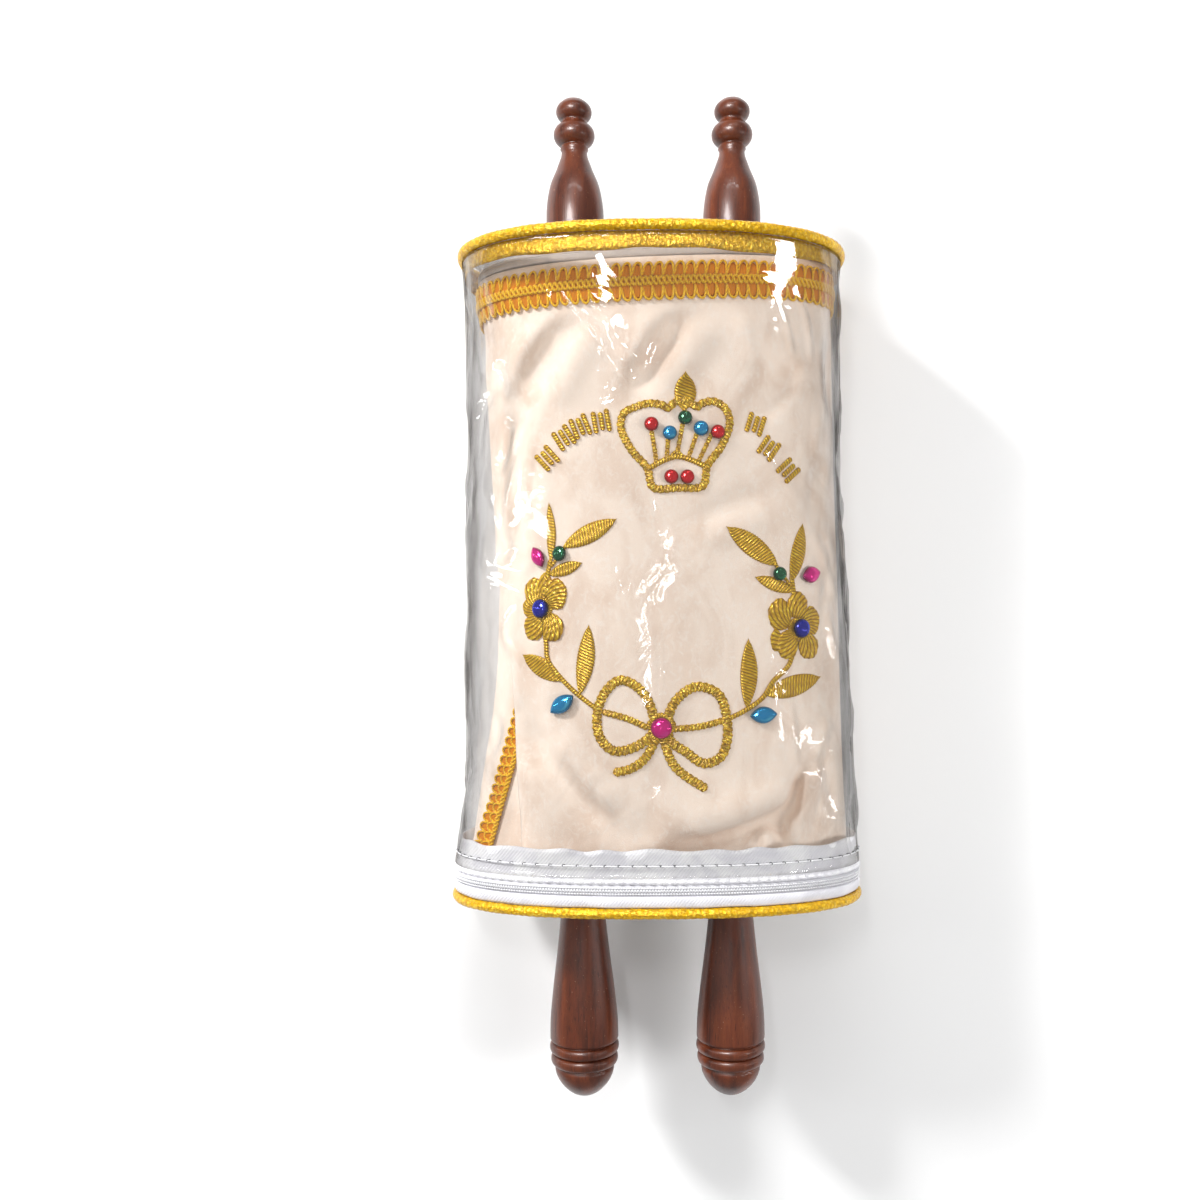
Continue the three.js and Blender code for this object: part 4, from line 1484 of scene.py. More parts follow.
    def _fan_layout(self, petal: bpy.types.Object, centre: tuple[float, float]) -> None:
        """Lays the petal's layout out in a fan, so that its threads run out from the flower's middle."""
        mesh = petal.data
        layer = mesh.uv_layers.active
        for loop in mesh.loops:
            place = mesh.vertices[loop.vertex_index].co
            x, y = place.x / MM - centre[0], place.y / MM - centre[1]
            turn = (math.atan2(y, x) + math.pi / 2) % (2 * math.pi)
            layer.uv[loop.index].vector = (math.hypot(x, y), 6.5 * turn)

    def leaf(self, base: tuple[float, float], tip: tuple[float, float], width: float) -> bpy.types.Object:
        """One satin-stitched leaf from base to tip, bowed a little."""
        middle = ((base[0] + tip[0]) / 2 + 0.02 * (tip[1] - base[1]), (base[1] + tip[1]) / 2)
        return self.strip((base, middle, tip), width, Stitch.LEAF)

    def crown(self) -> list[bpy.types.Object]:
        """The crown with its rays and bud."""
        lean = math.radians(2.2)

        def turned(points: Points) -> list[tuple[float, float]]:
            """Points given about the crown's base, in the scroll's frame."""
            cosine, sine = math.cos(lean), math.sin(lean)
            return [(9.7 + x * cosine - y * sine, 45.8 + x * sine + y * cosine) for x, y in points]

        right = [(10.2, 0), (12.6, 8.4), (18.6, 16), (22.6, 25), (21.4, 31.4)]
        left = [(-x, y) for x, y in reversed(right)]
        top = [(16.6, 35), (11.6, 34.4), (9, 33), (6.4, 35.2), (3.4, 36), (0.2, 35.2), (-2.8, 33)]
        top += [(-5.6, 34.4), (-11, 35.2), (-16.6, 34)]
        band = [(-12, 8), (-6, 11), (0, 12.6), (6, 11), (12, 8)]
        parts = [self.strip(turned([(0, -0.4), *right, *top, *left]), 3.3, Stitch.ROPE, True)]
        parts.append(self.strip(turned(band), 2.4, Stitch.STEM))
        parts.append(self.strip(turned([(-3.4, 11.6), (0, 14.8), (3.4, 11.6)]), 1.3, Stitch.STEM))
        for ray in (
            [(-8.6, 10), (-9.2, 17), (-10.4, 26)],
            [(-4.3, 11.5), (-3, 22.4)],
            [(0, 13), (1.6, 20), (3.6, 28.6)],
            [(4.6, 11.5), (9.6, 24)],
            [(8.8, 10), (15.4, 22.4)],
        ):
            parts.append(self.strip(turned(ray), 1.9, Stitch.ROPE))
        parts.append(self.leaf((12.1, 76.4), (13, 93.6), 9.2))
        return parts

    def bow(self) -> list[bpy.types.Object]:
        """The bow that ties both branches."""
        left = [(-1.4, -48), (-5.9, -38.9), (-14.2, -34.4), (-20.8, -39), (-24.4, -48)]
        left += [(-23.6, -57.7), (-17.6, -63.8), (-8.5, -62.1), (-1.4, -56.3)]
        right = [(5.7, -48), (10.3, -41), (17.4, -37.3), (25.7, -40.2), (29.2, -48)]
        right += [(29.8, -58.9), (26.8, -66.8), (19.7, -69.2), (12.7, -64.6), (5.6, -58.8)]
        parts = [self.strip(left, 4.0, Stitch.ROPE, True), self.strip(right, 4.0, Stitch.ROPE, True)]
        parts.append(self.strip([(1, -57), (-4.4, -66.7), (-10.6, -71.3), (-18.1, -73)], 3.8, Stitch.ROPE))
        parts.append(self.strip([(2.4, -57), (6.2, -67.9), (11.4, -73.8), (21.3, -80)], 3.8, Stitch.ROPE))
        parts.append(self.strip([(-22.6, -47.5), (-12, -50.4), (-3, -54.4)], 2.8, Stitch.ROPE))
        parts.append(self.strip([(5, -55), (18.5, -53.9), (28.6, -51.4)], 2.8, Stitch.ROPE))
        turns = [math.radians(18 + 72 * i) for i in range(5)]
        petals = [(2.2 + 3.4 * math.cos(t), -54.2 + 3.4 * math.sin(t), 3, 3) for t in turns]
        parts += self.flower((2.2, -54.2), petals)
        return parts

    def left_branch(self) -> list[bpy.types.Object]:
        """The branch on the left."""
        stem = [(-43.9, 16.5), (-46.5, 5), (-47.6, -4.4), (-46.2, -18.7), (-45.3, -26.2)]
        stem += [(-39.8, -33.6), (-32.8, -40.3), (-24.5, -46.6)]
        return [
            self.strip(stem, 2.1, Stitch.STEM),
            self.leaf((-43.9, 14), (-44.6, 40.5), 4.2),
            self.strip([(-44, 13), (-37, 22.2)], 1.4, Stitch.STEM),
            self.leaf((-39.4, 20.8), (-15.6, 32.9), 8),
            self.leaf((-45.4, 9.6), (-30.2, 14.7), 5.6),
            *self.flower(
                (-47.6, -4.5),
                (
                    (-53.2, -3.8, 3.4, 4.4),
                    (-51.2, 2.8, 4.6, 6.2),
                    (-46.4, 5.6, 3.2, 5.4),
                    (-41.6, 1.6, 4.7, 7.0),
                    (-51.4, -12.0, 4.6, 6.2),
                    (-43.6, -12.4, 5.2, 6.2),
                ),
            ),
            self.leaf((-38.8, -35.3), (-56.9, -23.6), 8),
            self.leaf((-31.9, -41.4), (-27.8, -10.9), 7.6),
        ]

    def right_branch(self) -> list[bpy.types.Object]:
        """The branch on the right."""
        stem = [(30, -51), (37.4, -47.4), (44.7, -42.3), (49.4, -35.4), (56.9, -27.5)]
        stem += [(59.8, -12.6), (58.8, 0), (57.6, 9)]
        return [
            self.strip(stem, 2.1, Stitch.STEM),
            self.leaf((38, -47.4), (38.8, -17), 7.4),
            self.leaf((44.8, -41.4), (71.1, -33.8), 9),
            *self.flower(
                (60.4, -13.3),
                (
                    (50.8, -18.2, 2.6, 5.0),
                    (66.6, -10.0, 4.2, 6.5),
                    (65.2, -20.8, 4.9, 5.8),
                    (55.8, -20.2, 4.9, 6.4),
                    (52.6, -7.4, 5.4, 7.1),
                    (60.4, -3.4, 4.7, 6.0),
                ),
            ),
            self.strip([(57.8, 4), (50, 14.4)], 1.4, Stitch.STEM),
            self.leaf((52.4, 12.6), (29.4, 29.6), 8.8),
            self.leaf((57.4, 5.6), (63.1, 31.8), 6.6),
            self.leaf((59.4, 2), (41.5, 8.5), 5.8),
        ]

    def inscription(self) -> list[bpy.types.Object]:
        """Rows of short satin strokes along the two arcs beside the crown; they spell nothing."""
        parts = []
        for x, y, turn in (
            (-45.4, 58.6, 42), (-38.2, 66.9, 32), (-31.2, 71.4, 22), (-22.4, 73.4, 10),
            (42.3, 72.7, -18), (47.9, 62.6, -34), (56.5, 53.8, -46),
        ):
            lean = math.radians(turn)
            for along, length in ((-2.6, 9.6), (0.3, 8.0), (3.0, 10.0)):
                middle = (x + along * math.cos(lean), y + along * math.sin(lean))
                up = (-math.sin(lean) * length / 2, math.cos(lean) * length / 2)
                low = (middle[0] - up[0], middle[1] - up[1])
                high = (middle[0] + up[0], middle[1] + up[1])
                parts.append(self.strip((low, middle, high), 2.2, Stitch.STEM))
        return parts

    def build(self) -> None:
        """Stitches the four patches and the two rows of strokes."""
        for name, parts, node in (
            ("stitched_crown", self.crown(), "crown_embroidery"),
            ("stitched_left_branch", self.left_branch(), "branch_embroidery_left"),
            ("stitched_right_branch", self.right_branch(), "branch_embroidery_right"),
            ("stitched_bow", self.bow(), "bow_embroidery"),
        ):
            settle(join(name, parts), "thread", node)
        settle(join("stitched_strokes", self.inscription()), "thread")


@dataclass(frozen=True)
class StoneSetting:
    """One glued stone: the node it stands for, its colour, its place and its size."""

    node: str
    stone: Stone
    x: float
    y: float
    length: float
    width: float
    turn: float = 0.0
    navette: bool = False


STONES = (
    StoneSetting("stone_crown_red_left", Stone.RED, -1.3, 71.8, 6, 6),
    StoneSetting("stone_crown_blue_left", Stone.SKY, 6.3, 68.1, 6, 6),
    StoneSetting("stone_crown_green", Stone.GREEN, 12.7, 74.5, 6, 6),
    StoneSetting("stone_crown_blue_right", Stone.SKY, 19.3, 70, 6.4, 6.4),
    StoneSetting("stone_crown_red_right", Stone.RED, 26.2, 68.6, 6, 6),
    StoneSetting("stone_crown_base_left", Stone.RED, 6.8, 49.9, 6, 6),
    StoneSetting("stone_crown_base_right", Stone.RED, 13.4, 49.9, 6, 6),
    StoneSetting("stone_bud_pink_left", Stone.PINK, -48.9, 17.4, 9.6, 6, -62, True),
    StoneSetting("stone_bud_green_left", Stone.GREEN, -39.8, 18.6, 6.6, 6, 75),
    StoneSetting("stone_flower_left", Stone.BLUE, -48.1, -4.4, 8.2, 7.4, 80),
    StoneSetting("stone_drop_blue_left", Stone.SKY, -39, -44.5, 12.4, 7.2, 36, True),
    StoneSetting("stone_bow", Stone.PINK, 2.2, -54.2, 9, 9),
    StoneSetting("stone_drop_blue_right", Stone.SKY, 44.8, -49.4, 11.8, 7.2, 4, True),
    StoneSetting("stone_flower_right", Stone.BLUE, 61.3, -13.2, 8.2, 7.8, 80),
    StoneSetting("stone_bud_green_right", Stone.GREEN, 52.1, 9.8, 6, 6),
    StoneSetting("stone_bud_pink_right", Stone.PINK, 65.6, 9.6, 12, 7.2, 14, True),
)


@dataclass
class Stones:
    """The sixteen acrylic stones, flat below and domed above, glued on the stitching."""

    form: MantleForm
    seat: float = 1.0

    def stone(self, setting: StoneSetting) -> bpy.types.Object:
        """Moulds one stone and seats it square to the velvet."""
        middle = np.array([float(setting.x)]), np.array([setting.y + DESIGN_Y])
        up = Vector(self.form.normal(*middle)[0])
        level_here = float(self.form.height(*middle)[0])
        seat = Vector((setting.x, setting.y + DESIGN_Y, level_here)) + self.seat * up
        turn = Matrix.Rotation(math.radians(setting.turn), 3, "Z")
        basis = np.array(Vector((0, 0, 1)).rotation_difference(up).to_matrix() @ turn)
        height = 0.36 * setting.width

        def place(u: np.ndarray, v: np.ndarray) -> np.ndarray:
            """Puts a point of the grid on the stone."""
            angle = 2 * math.pi * u
            rounded = setting.length * setting.width / np.hypot(
                setting.width * np.cos(angle), setting.length * np.sin(angle)
            )
            rise = np.clip((v - 0.25) / 0.75, 0, 1)
            reach = np.where(v < 0.25, v / 0.25, np.cos(rise * math.pi / 2) ** 0.85)
            level = np.where(v < 0.25, 0.0, height * (0.12 + 0.88 * np.sin(rise * math.pi / 2)))
            across, beside = rounded * np.cos(angle), rounded * np.sin(angle)
            if setting.navette:
                across = setting.length * np.cos(angle)
                beside = setting.width * np.sin(angle) * np.abs(np.sin(angle)) ** 0.8
            local = np.column_stack([reach * across / 2, reach * beside / 2, level])
            return local @ basis.T + np.array(seat)

        return placed_grid("glued_" + setting.node, 32, 16, place, (1.0, 1.0))

    def build(self) -> None:
        """Sets every stone."""
        for setting in STONES:
            obj = dress(self.stone(setting), setting.stone.finish())
            settle(obj, setting.stone.value[0], setting.node)


# ---------------------------------------------------------------- cover


@dataclass(frozen=True)
class Crease:
    """A crisp crease or blister in the vinyl, on the unrolled wall: along the ring and along the scroll."""

    points: Points
    height: float
    width: float


@dataclass
class Cover:
    """The clear vinyl cover: wall, end panels, pipings, tapes and zip."""

    form: CoverForm
    wall_low: float = -116.4
    wall_high: float = 146.6
    thickness: float = 0.75
    seed: int = 11

    def _creases(self) -> list[Crease]:
        """The creases seen over the front and many small ones down both flanks."""
        front = [
            ([(-45, 137), (-40, 128), (-30, 118), (-20, 113)], 0.9, 1.6),
            ([(-41, 126), (-30, 112), (-22, 104)], 0.8, 1.3),
            ([(-27, 112), (-22, 98), (-16, 90), (-8, 80)], 0.9, 2.2),
            ([(-20, 106), (-8, 96), (-10, 84)], 0.8, 1.6),
            ([(8, 116), (0, 100), (-6, 86)], 0.8, 1.3),
            ([(51, 119), (56, 108), (58, 98)], 0.7, 1.3),
            ([(-60, 58), (-64, 46), (-68, 30)], 0.9, 1.6),
            ([(-2, 36), (-1, 26)], 0.7, 2.0),
            ([(-20, 10), (-15, 2)], 0.7, 2.0),
            ([(-4, -6), (-1, -26), (-3, -50)], 0.8, 1.4),
            ([(-29, -66), (-38, -80), (-46, -92)], 0.8, 1.4),
            ([(0, -81), (-24, -94), (-50, -108)], 0.9, 1.7),
            ([(-36, -60), (-44, -78)], 0.7, 1.6),
            ([(52, -44), (54, -72)], 0.6, 2.4),
            ([(40, 60), (60, 40)], 0.5, 2.0),
            ([(-29, 120), (-24, 114), (-17, 116)], 0.9, 1.0),
            ([(-23, 101), (-15, 99), (-8, 93)], 0.9, 1.2),
            ([(-18, 92), (-14, 84), (-9, 76)], 0.8, 1.2),
            ([(-50, 132), (-46, 124), (-47, 118)], 0.9, 1.2),
            ([(-63, -6), (-68, -16), (-62, -26)], 0.8, 1.3),
            ([(-60, 70), (-63, 60)], 0.8, 1.4),
            ([(-24, -74), (-30, -84), (-42, -96)], 0.8, 1.0),
            ([(24, 132), (36, 130), (50, 127)], 0.8, 1.2),
            ([(60, 126), (66, 112), (68, 96)], 0.8, 1.4),
        ]
        creases = [Crease(tuple(points), 1.5 * height, 0.85 * width) for points, height, width in front]
        chooser = random.Random(self.seed)
        for i in range(120):
            side = -1 if i % 2 else 1
            middle = (side * chooser.uniform(66, 118), chooser.uniform(-108, 132))
            length = chooser.uniform(8, 34)
            lean = math.radians(chooser.uniform(55, 125))
            run = (length / 2 * math.cos(lean), length / 2 * math.sin(lean))
            bend = chooser.uniform(-3, 3)
            points = (
                (middle[0] - run[0], middle[1] - run[1]),
                (middle[0] + bend, middle[1]),
                (middle[0] + run[0], middle[1] + run[1]),
            )
            creases.append(Crease(points, chooser.uniform(-1.5, 1.2), chooser.uniform(1.4, 4.5)))
        return creases

    def _crumple(self, along: np.ndarray, y: np.ndarray) -> np.ndarray:
        """How far the wall stands out or in, by the length round it from the front's middle and by y."""
        out = 0.45 * np.sin(along / 11.0 + 1.1 * np.sin(y / 17.0)) * np.sin(y / 26.0 + along / 33.0)
        out += 0.3 * np.sin(along / 5.1 + y / 13.0) * smoothstep(np.abs(along), 60, 85)
        for crease in self._creases():
            path = even_curve(crease.points, 8)
            box = path.min(axis=0) - 2.5 * crease.width, path.max(axis=0) + 2.5 * crease.width
            near = (along > box[0][0]) & (along < box[1][0]) & (y > box[0][1]) & (y < box[1][1])
            if not near.any():
                continue
            distance, share = nearest_on(path, along[near], y[near])
            ends = np.sqrt(np.clip(4 * share * (1 - share), 0, 1))
            out[near] += crease.height * ends * np.clip(1 - distance / (1.6 * crease.width), 0, 1)
        return out

    def wall(self) -> None:
        """Rolls the crumpled wall, of true thickness."""
        columns, rows = 340, 260
        angles, length = self.form.turns(0.0, columns)
        outer_rows = rows // 2 - 1

        def place(u: np.ndarray, v: np.ndarray) -> np.ndarray:
            """Puts a point of the grid on the outer or inner face of the wall."""
            step = v * rows
            up = np.clip(step / outer_rows, 0, 1)
            down = np.clip((step - outer_rows - 1) / outer_rows, 0, 1)
            inner = step > outer_rows + 0.5
            share = np.where(inner, 1 - down, up)
            share = np.where(v > 1 - 1e-6, 0.0, share)
            y = self.wall_low + (self.wall_high - self.wall_low) * share
            angle = np.interp(u * columns, np.arange(columns + 1), angles)
            along = (0.25 - u) * length
            along = np.where(along < -length / 2, along + length, along)
            fade = smoothstep(y, self.wall_low, self.wall_low + 14) * smoothstep(-y, -self.wall_high, -137)
            offset = self._crumple(along, y) * fade * smoothstep(np.sin(angle), -0.9, -0.5)
            offset = offset - self.thickness * (inner & (v < 1 - 1e-6))
            return self.form.point(angle, y, offset)

        wall = placed_grid("clear_wall", columns, rows, place, (length, 540.0))
        settle(dress(wall, VinylFinish()), "vinyl", "cover_wall")

    def panel(self, name: str, low: float, radius: float) -> None:
        """Cuts one clear end panel, a thin plate with a hole for each roller.

        Args:
            name: the node it stands for.
            low: its lower face's place along the scroll.
            radius: the holes' radius.
        """

        def place(u: np.ndarray, v: np.ndarray) -> np.ndarray:
            """Puts a point of the grid on the panel."""
            reach = np.interp(v, [0, 0.45, 0.55, 1], [0, 1, 1, 0])
            y = np.where(v < 0.5, low, low + PANEL_THICKNESS)
            rim = self.form.point(2 * math.pi * u, y, -PANEL_INSET)
            rim[:, 0] *= reach
            rim[:, 2] = AXIS_HEIGHT + (rim[:, 2] - AXIS_HEIGHT) * reach
            return rim

        panel = placed_grid("clear_" + name, 96, 20, place, (430.0, 80.0))
        cut_roller_holes(panel, low + 0.4, radius)
        settle(dress(panel, VinylFinish()), "vinyl", name)

    def ring(
        self, name: str, loop: Points, finish: Finish, ripple: Callable | None = None, columns: int = 260
    ) -> bpy.types.Object:
        """A band round the cover.

        Args:
            name: the piece's name.
            loop: places along the scroll and offsets, round the band's own outline.
            finish: its finish.
            ripple: changes y and offset, given the length round the cover.
            columns: faces round the cover.

        Returns:
            The band.
        """
        outline = np.array([*loop, loop[0]], dtype=float)
        count = len(outline) - 1
        angles, length = self.form.turns(float(outline[0, 0]), columns)

        def place(u: np.ndarray, v: np.ndarray) -> np.ndarray:
            """Puts a point of the grid on the band."""
            at = np.rint(v * count).astype(int)
            angle = np.interp(u * columns, np.arange(columns + 1), angles)
            y, offset = outline[at, 0].copy(), outline[at, 1].copy()
            if ripple:
                y, offset = ripple(u * length, y, offset)
            return self.form.point(angle, y, offset)

        return dress(placed_grid(name, columns, count, place, (length, 40.0)), finish)

    def thread(
        self,
        y: float,
        offset: Callable,
        across: Callable,
        radius: Callable,
        pitch: float,
        steps: int,
        finish: Finish,
    ) -> bpy.types.Object:
        """A thread or a row of beads round the cover.

        Args:
            y: its place along the scroll.
            offset: its height off the cover's face, by phase.
            across: its shift along the scroll, by phase.
            radius: its radius, by phase.
            pitch: the length of one repeat.
            steps: steps to one repeat.
            finish: its finish.

        Returns:
            The closed thread.
        """
        _, length = self.form.turns(y, 10)
        repeats = round(length / pitch)
        count = repeats * steps
        angles, _ = self.form.turns(y, count)
        phase = 2 * math.pi * repeats * np.arange(count + 1) / count
        path = self.form.point(angles, y + across(phase), offset(phase))
        up = unit_rows(self.form.point(angles, y + across(phase), offset(phase) + 0.5) - path)
        up[np.linalg.norm(up, axis=1) < 0.5] = (0, 0, -1)
        path[-1] = path[0]
        return dress(cord_mesh("thread", path, up, radius(phase), 5, True), finish)

    def piping(self, name: str, y: float, sink: float) -> None:
        """Wraps one gold piping round a rim, its cloth wrinkled and creased round the cord.

        Args:
            name: the node it stands for.
            y: its place along the scroll.
            sink: how far its middle is inside the cover's face.
        """
        radius = 2.2

        def ripple(along: np.ndarray, y_in: np.ndarray, offset: np.ndarray) -> Pair:
            """Wrinkles the cloth of the piping."""
            wave = 1 + 0.035 * np.sin(along * 1.9 + 2 * np.sin(along / 7))
            wave = wave + 0.025 * np.sin(along / 3.1)
            return y + (y_in - y) * wave, -sink + (offset + sink) * wave

        turns = [2 * math.pi * (i + 0.5) / 14 for i in range(14)]
        loop = [(y + radius * math.sin(t), -sink + radius * math.cos(t)) for t in turns]
        piping = self.ring("gold_" + name, loop, LAME, ripple, 420)
        settle(piping, "lame", name)

    def seam_tape(self) -> None:
        """Sews the gold tape inside the wall under the top piping."""

        def ripple(along: np.ndarray, y: np.ndarray, offset: np.ndarray) -> Pair:
            """Lets the tape's lower edge wander."""
            lower = y < 142
            return y + lower * (0.5 * np.sin(along / 13) + 0.25 * np.sin(along / 4.3)), offset

        levels = (139.6, 141.5, 143.6, 146.8)
        loop = [(y, -1.05) for y in levels] + [(y, -1.65) for y in reversed(levels)]
        settle(self.ring("gold_seam_tape", loop, LAME, ripple), "lame", "cover_seam_tape")

    def hem_band(self) -> None:
        """Sews the white band inside the wall's lower edge, stitched and puckered along the zip."""

        def ripple(along: np.ndarray, y: np.ndarray, offset: np.ndarray) -> Pair:
            """Waves the upper edge and puckers the strip below the wall's cut edge."""
            upper = smoothstep(y, -112, -105)
            edge = upper * (0.45 * np.sin(along / 3.4 + np.sin(along / 11)) + 0.25 * np.sin(along / 8))
            pucker = smoothstep(-y, 116.6, 117.8) * smoothstep(y, -119.5, -118.2)
            bulge = pucker * (0.15 + 1.5 * np.abs(np.sin(along * math.pi / 4.3)))
            dent = -0.25 * upper * np.sin(along / 3.4 + 1)
            return y + edge, offset + bulge + dent * (offset > -1.5)

        levels = [-119.4, -118.9, -118.4, -117.9, -117.4, -116.8, -115, -112, -109, -107, -105.1]
        loop = [(y, -1.05) for y in levels] + [(y, -1.85) for y in reversed(levels)]
        # the hem band takes the tape painted brighter, as painted light against the shade of the vinyl over
        # it
        band = self.ring("white_hem_band", loop, HEM_TAPE_PAINTED_BRIGHTER, ripple, 520)
        seam = -111.4
        stitches = self.thread(
            seam,
            lambda p: 0.2 - 1.65 * (np.cos(p) > 0.92),
            lambda p: 0.0 * p,
            lambda p: np.full_like(p, 0.24),
            STITCH_PITCH, 14, NYLON,
        )
        # painted shade: a dark bead shows where each stitch dives in, standing in for the needle hole
        holes = self.thread(
            seam,
            lambda p: -1.45 + 1.6 * (np.cos(p) > 0.95),
            lambda p: 0.0 * p,
            lambda p: np.full_like(p, 0.36),
            STITCH_PITCH, 14, NEEDLE_HOLE_PAINTED_SHADE,
        )
        settle(join("white_hem_band", [band, stitches, holes]), "tape", "cover_hem_band")

    def zip_chain(self) -> None:
        """Closes the zip: woven tape, a coil down the middle and a row of stitches to each side."""
        loop = [(-119.45, -0.5), (-123.9, -0.5), (-123.9, -1.5), (-119.45, -1.5)]
        parts = [self.ring("zip_cloth", loop, ZIP_CLOTH)]
        for y in (-120.5, -122.9):
            parts.append(
                self.thread(
                    y, lambda p: 0.0 * p - 0.15, lambda p: 0.0 * p,
                    lambda p: 0.24 + 0.17 * np.cos(p), COIL_PITCH, 6, NYLON,
                )
            )
        parts.append(
            self.thread(
                -121.7, lambda p: -0.2 + 0.16 * np.cos(2 * p), lambda p: 0.62 * np.sin(p),
                lambda p: np.full_like(p, 0.24), COIL_PITCH, 6, NYLON,
            )
        )
        settle(join("coil_zip", parts), "tape", "zip_chain")

    def base_band(self) -> None:
        """Sews the white woven band between the zip and the lower piping."""

        def ripple(along: np.ndarray, y: np.ndarray, offset: np.ndarray) -> Pair:
            """Rounds the band a little and waves it."""
            swell = 0.35 * np.sin(along / 3.9) * np.sin(along / 17.0) * (offset > -0.6)
            return y, offset + swell

        levels = [-128.6, -127.8, -126.2, -124.7, -123.95]
        loop = [(y, 0.25 if -128 < y < -124.2 else -0.25) for y in levels]
        loop += [(y, -1.2) for y in reversed(levels)]
        settle(self.ring("white_base_band", loop, TAPE, ripple, 380), "tape", "cover_base_band")

    def slider(self) -> None:
        """Sets the zip slider and its pull where the zip ends, low on the right flank."""
        angle = math.radians(-24)
        y = -121.65
        sample = np.array([angle - 0.02, angle, angle + 0.02])
        rows = self.form.point(sample, np.full(3, y), 0.4)
        across = Vector(rows[2] - rows[0]).normalized()
        up = across.cross(Vector((0, 1, 0))).normalized()
        if up.x < 0:
            up.negate()
        side = Vector((0, 1, 0)).cross(up).normalized()
        seat = Matrix((side, Vector((0, 1, 0)), up)).transposed().to_4x4()
        seat.translation = Vector(rows[1]) * MM
        for name, size, middle, bevel in (
            ("zip_slider", (9.0, 6.4, 1.9), (0, 0, 0.95), 0.8),
            ("zip_pull", (15.0, 3.8, 0.9), (5.4, 0, 2.75), 0.4),
        ):
            bpy.ops.object.select_all(action="DESELECT")
            bpy.ops.mesh.primitive_cube_add(size=1)
            part = bpy.context.object
            part.name = "metal_" + name
            part.scale = tuple(s * MM for s in size)
            bpy.ops.object.transform_apply(location=False, rotation=False, scale=True)
            bpy.ops.object.mode_set(mode="EDIT")
            bpy.ops.mesh.select_all(action="SELECT")
            bpy.ops.mesh.bevel(offset=bevel * MM, segments=4, affect="EDGES")
            bpy.ops.object.mode_set(mode="OBJECT")
            part.data.transform(seat @ Matrix.Translation(Vector(middle) * MM))
            bpy.ops.object.shade_smooth_by_angle(angle=math.radians(40))
            settle(dress(part, NICKEL), "zip_metal", name)

    def build(self) -> None:
        """Makes every part of the cover."""
        self.wall()
        self.panel("cover_panel_top", 150.1, FINIAL_HOLE)
        self.panel("cover_panel_bottom", -132.1, HANDLE_HOLE)
        self.piping("cover_piping_top", 149.1, 0.5)
        self.piping("cover_piping_bottom", -131.1, 0.5)
        self.seam_tape()
        self.hem_band()
        self.zip_chain()
        self.base_band()
        self.slider()


# ---------------------------------------------------------------- studio


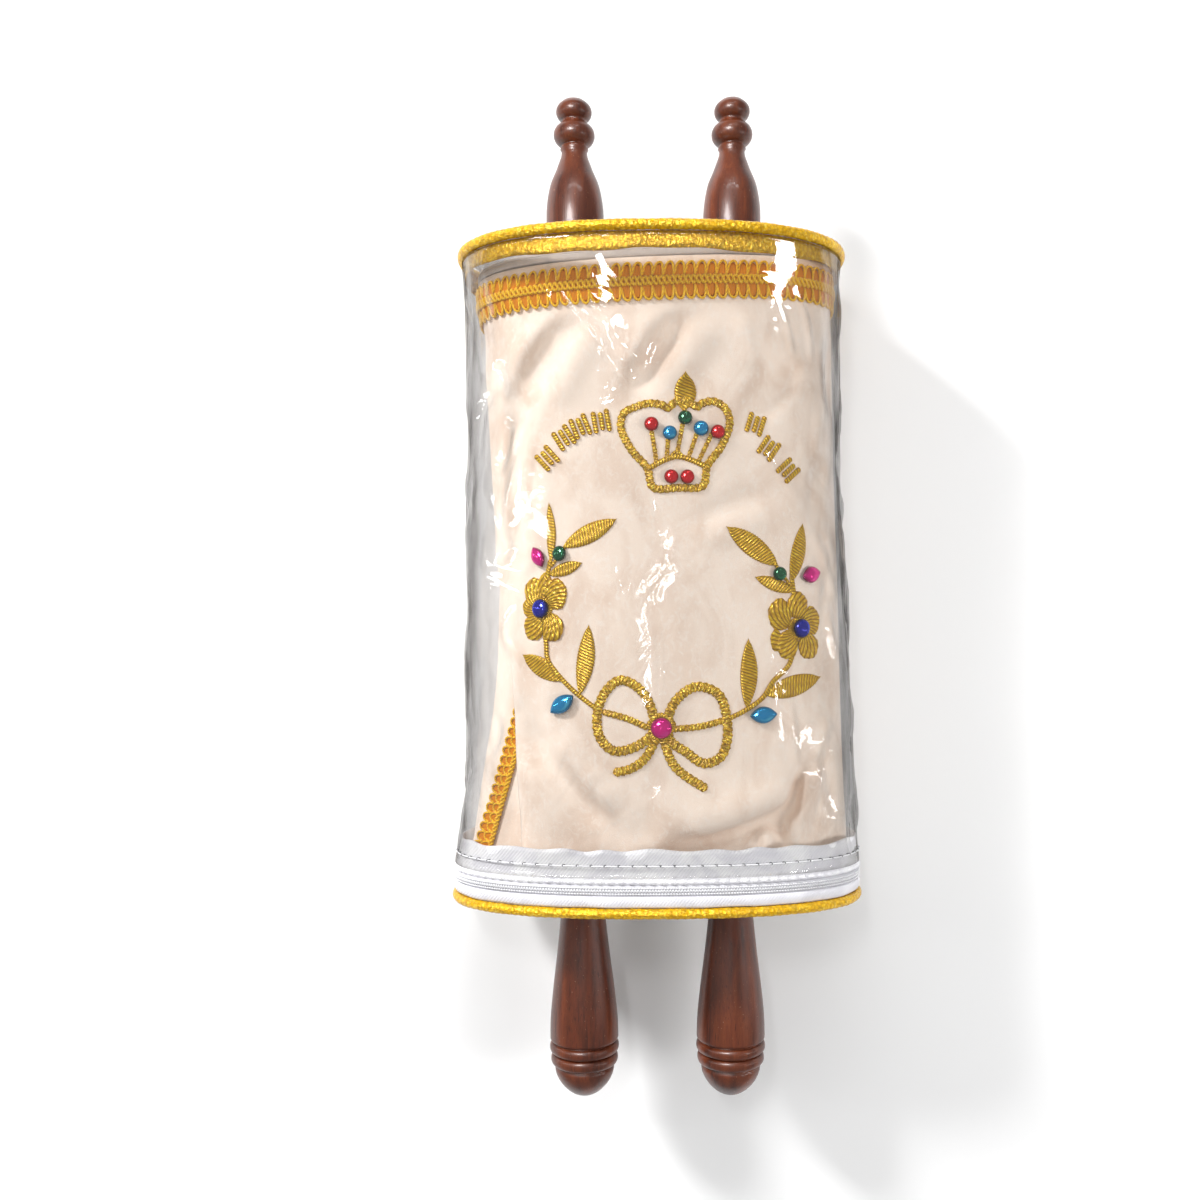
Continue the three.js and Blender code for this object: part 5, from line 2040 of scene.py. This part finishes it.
@dataclass
class Studio:
    """A pale floor, soft lights and a camera that looks straight down on the lying scroll."""

    camera_height: float = 532.5
    camera_y: float = -14.4
    lens: float = 33.03
    shift: tuple[float, float] = (-0.04625, 0.0241667)  # shares of the frame's width

    def _area(
        self,
        name: str,
        place: tuple[float, float, float],
        size: tuple[float, float],
        power: float,
        glints: bool,
    ) -> bpy.types.Object:
        """Adds one area light aimed at the scroll.

        Args:
            name: the light's name.
            place: where it stands, in metres.
            size: its width and height in metres.
            power: its power in watts.
            glints: whether it shows in glossy surfaces.

        Returns:
            The light.
        """
        data = bpy.data.lights.new(name, "AREA")
        data.shape = "RECTANGLE"
        data.size = size[0]
        data.size_y = size[1]
        data.energy = power
        light = bpy.data.objects.new(name, data)
        light.location = place
        aim = Vector((0, 0, 0.04)) - Vector(place)
        light.rotation_euler = aim.to_track_quat("-Z", "Y").to_euler()
        light.visible_glossy = glints
        bpy.context.scene.collection.objects.link(light)
        return light

    def _group(self, name: str, starts: tuple[str, ...]) -> bpy.types.Collection:
        """Gathers the pieces whose names start in one of these ways, for a light of their own."""
        group = bpy.data.collections.new(name)
        for obj in bpy.data.objects:
            if obj.name.startswith(starts):
                group.objects.link(obj)
        return group

    def _floor(self) -> None:
        """Lays the pale floor."""
        bpy.ops.object.select_all(action="DESELECT")
        bpy.ops.mesh.primitive_plane_add(size=12, location=(0, 0, 0))
        floor = bpy.context.object
        floor.name = "pale_floor"
        material = bpy.data.materials.new("matt_white_paper")
        material.use_nodes = True
        shader = next(n for n in material.node_tree.nodes if n.type == "BSDF_PRINCIPLED")
        shader.inputs["Base Color"].default_value = linear_colour("#FAFAFA")
        shader.inputs["Roughness"].default_value = 0.95
        floor.data.materials.append(material)

    def _lights(self) -> None:
        """Sets the pale surroundings, the soft lights and the small ones that draw glints."""
        world = bpy.data.worlds.new("soft_surroundings")
        world.use_nodes = True
        background = next(n for n in world.node_tree.nodes if n.type == "BACKGROUND")
        background.inputs["Color"].default_value = (1.0, 1.0, 1.0, 1.0)
        background.inputs["Strength"].default_value = 0.38
        bpy.context.scene.world = world
        self._area("key_light", (-1.3, 1.15, 0.85), (0.3, 0.3), 43.0, False)
        self._area("side_light", (0.85, -0.15, 0.75), (0.4, 0.4), 4.2, False)
        self._area("left_strip", (-0.85, 0.1, 0.5), (0.012, 0.8), 1.0, True)
        self._area("right_strip", (0.85, -0.15, 0.5), (0.012, 0.7), 1.0, True)
        self._area("head_strip", (0.0, 0.85, 0.75), (0.8, 0.02), 1.8, True)
        self._area("window", (-0.15, 0.32, 0.9), (0.05, 0.16), 1.0, True)
        self._area("centre_strip", (-0.012, -0.06, 0.9), (0.006, 0.2), 0.2, True)
        glint = self._area("glint_light", (-0.3, 0.35, 0.85), (0.3, 0.3), 9.0, True)
        glint.visible_diffuse = False
        clear = self._group("clear_pieces", ("clear_",))
        glossy = self._group("glossy_pieces", ("glued_", "turned_", "gold_", "stitched_"))
        glint.light_linking.receiver_collection = glossy
        for name, spot in (
            ("right_crease_light", (0.69, 0.45, 0.57)),
            ("left_crease_light", (-0.39, 0.72, 0.57)),
            ("low_crease_light", (-0.6, -0.5, 0.6)),
        ):
            light = self._area(name, spot, (0.19, 0.19), 5.0, True)
            light.visible_diffuse = False
            light.light_linking.receiver_collection = clear

    def _camera(self) -> None:
        """Hangs the camera over the scroll."""
        scene = bpy.context.scene
        data = bpy.data.cameras.new("camera")
        data.lens = self.lens
        data.sensor_width = 36.0
        data.shift_x, data.shift_y = self.shift
        data.clip_start = 0.01
        camera = bpy.data.objects.new("camera", data)
        camera.location = (0.0, self.camera_y * MM, self.camera_height * MM)
        camera.rotation_euler = (0.0, 0.0, -0.005)
        scene.collection.objects.link(camera)
        scene.camera = camera
        scene.view_settings.view_transform = "Standard"

    def build(self) -> None:
        """Sets the floor, the lights, the surroundings and the camera."""
        self._floor()
        self._lights()
        self._camera()


def main() -> None:
    """Builds the scroll, then the studio."""
    logging.basicConfig(level=logging.INFO, format="%(message)s")
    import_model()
    velvet = MantleForm()
    Rollers().build()
    Parchment().build()
    Mantle(velvet).build()
    Embroidery(velvet).build()
    Stones(velvet).build()
    Cover(CoverForm()).build()
    Studio().build()


if __name__ == "__main__":
    main()
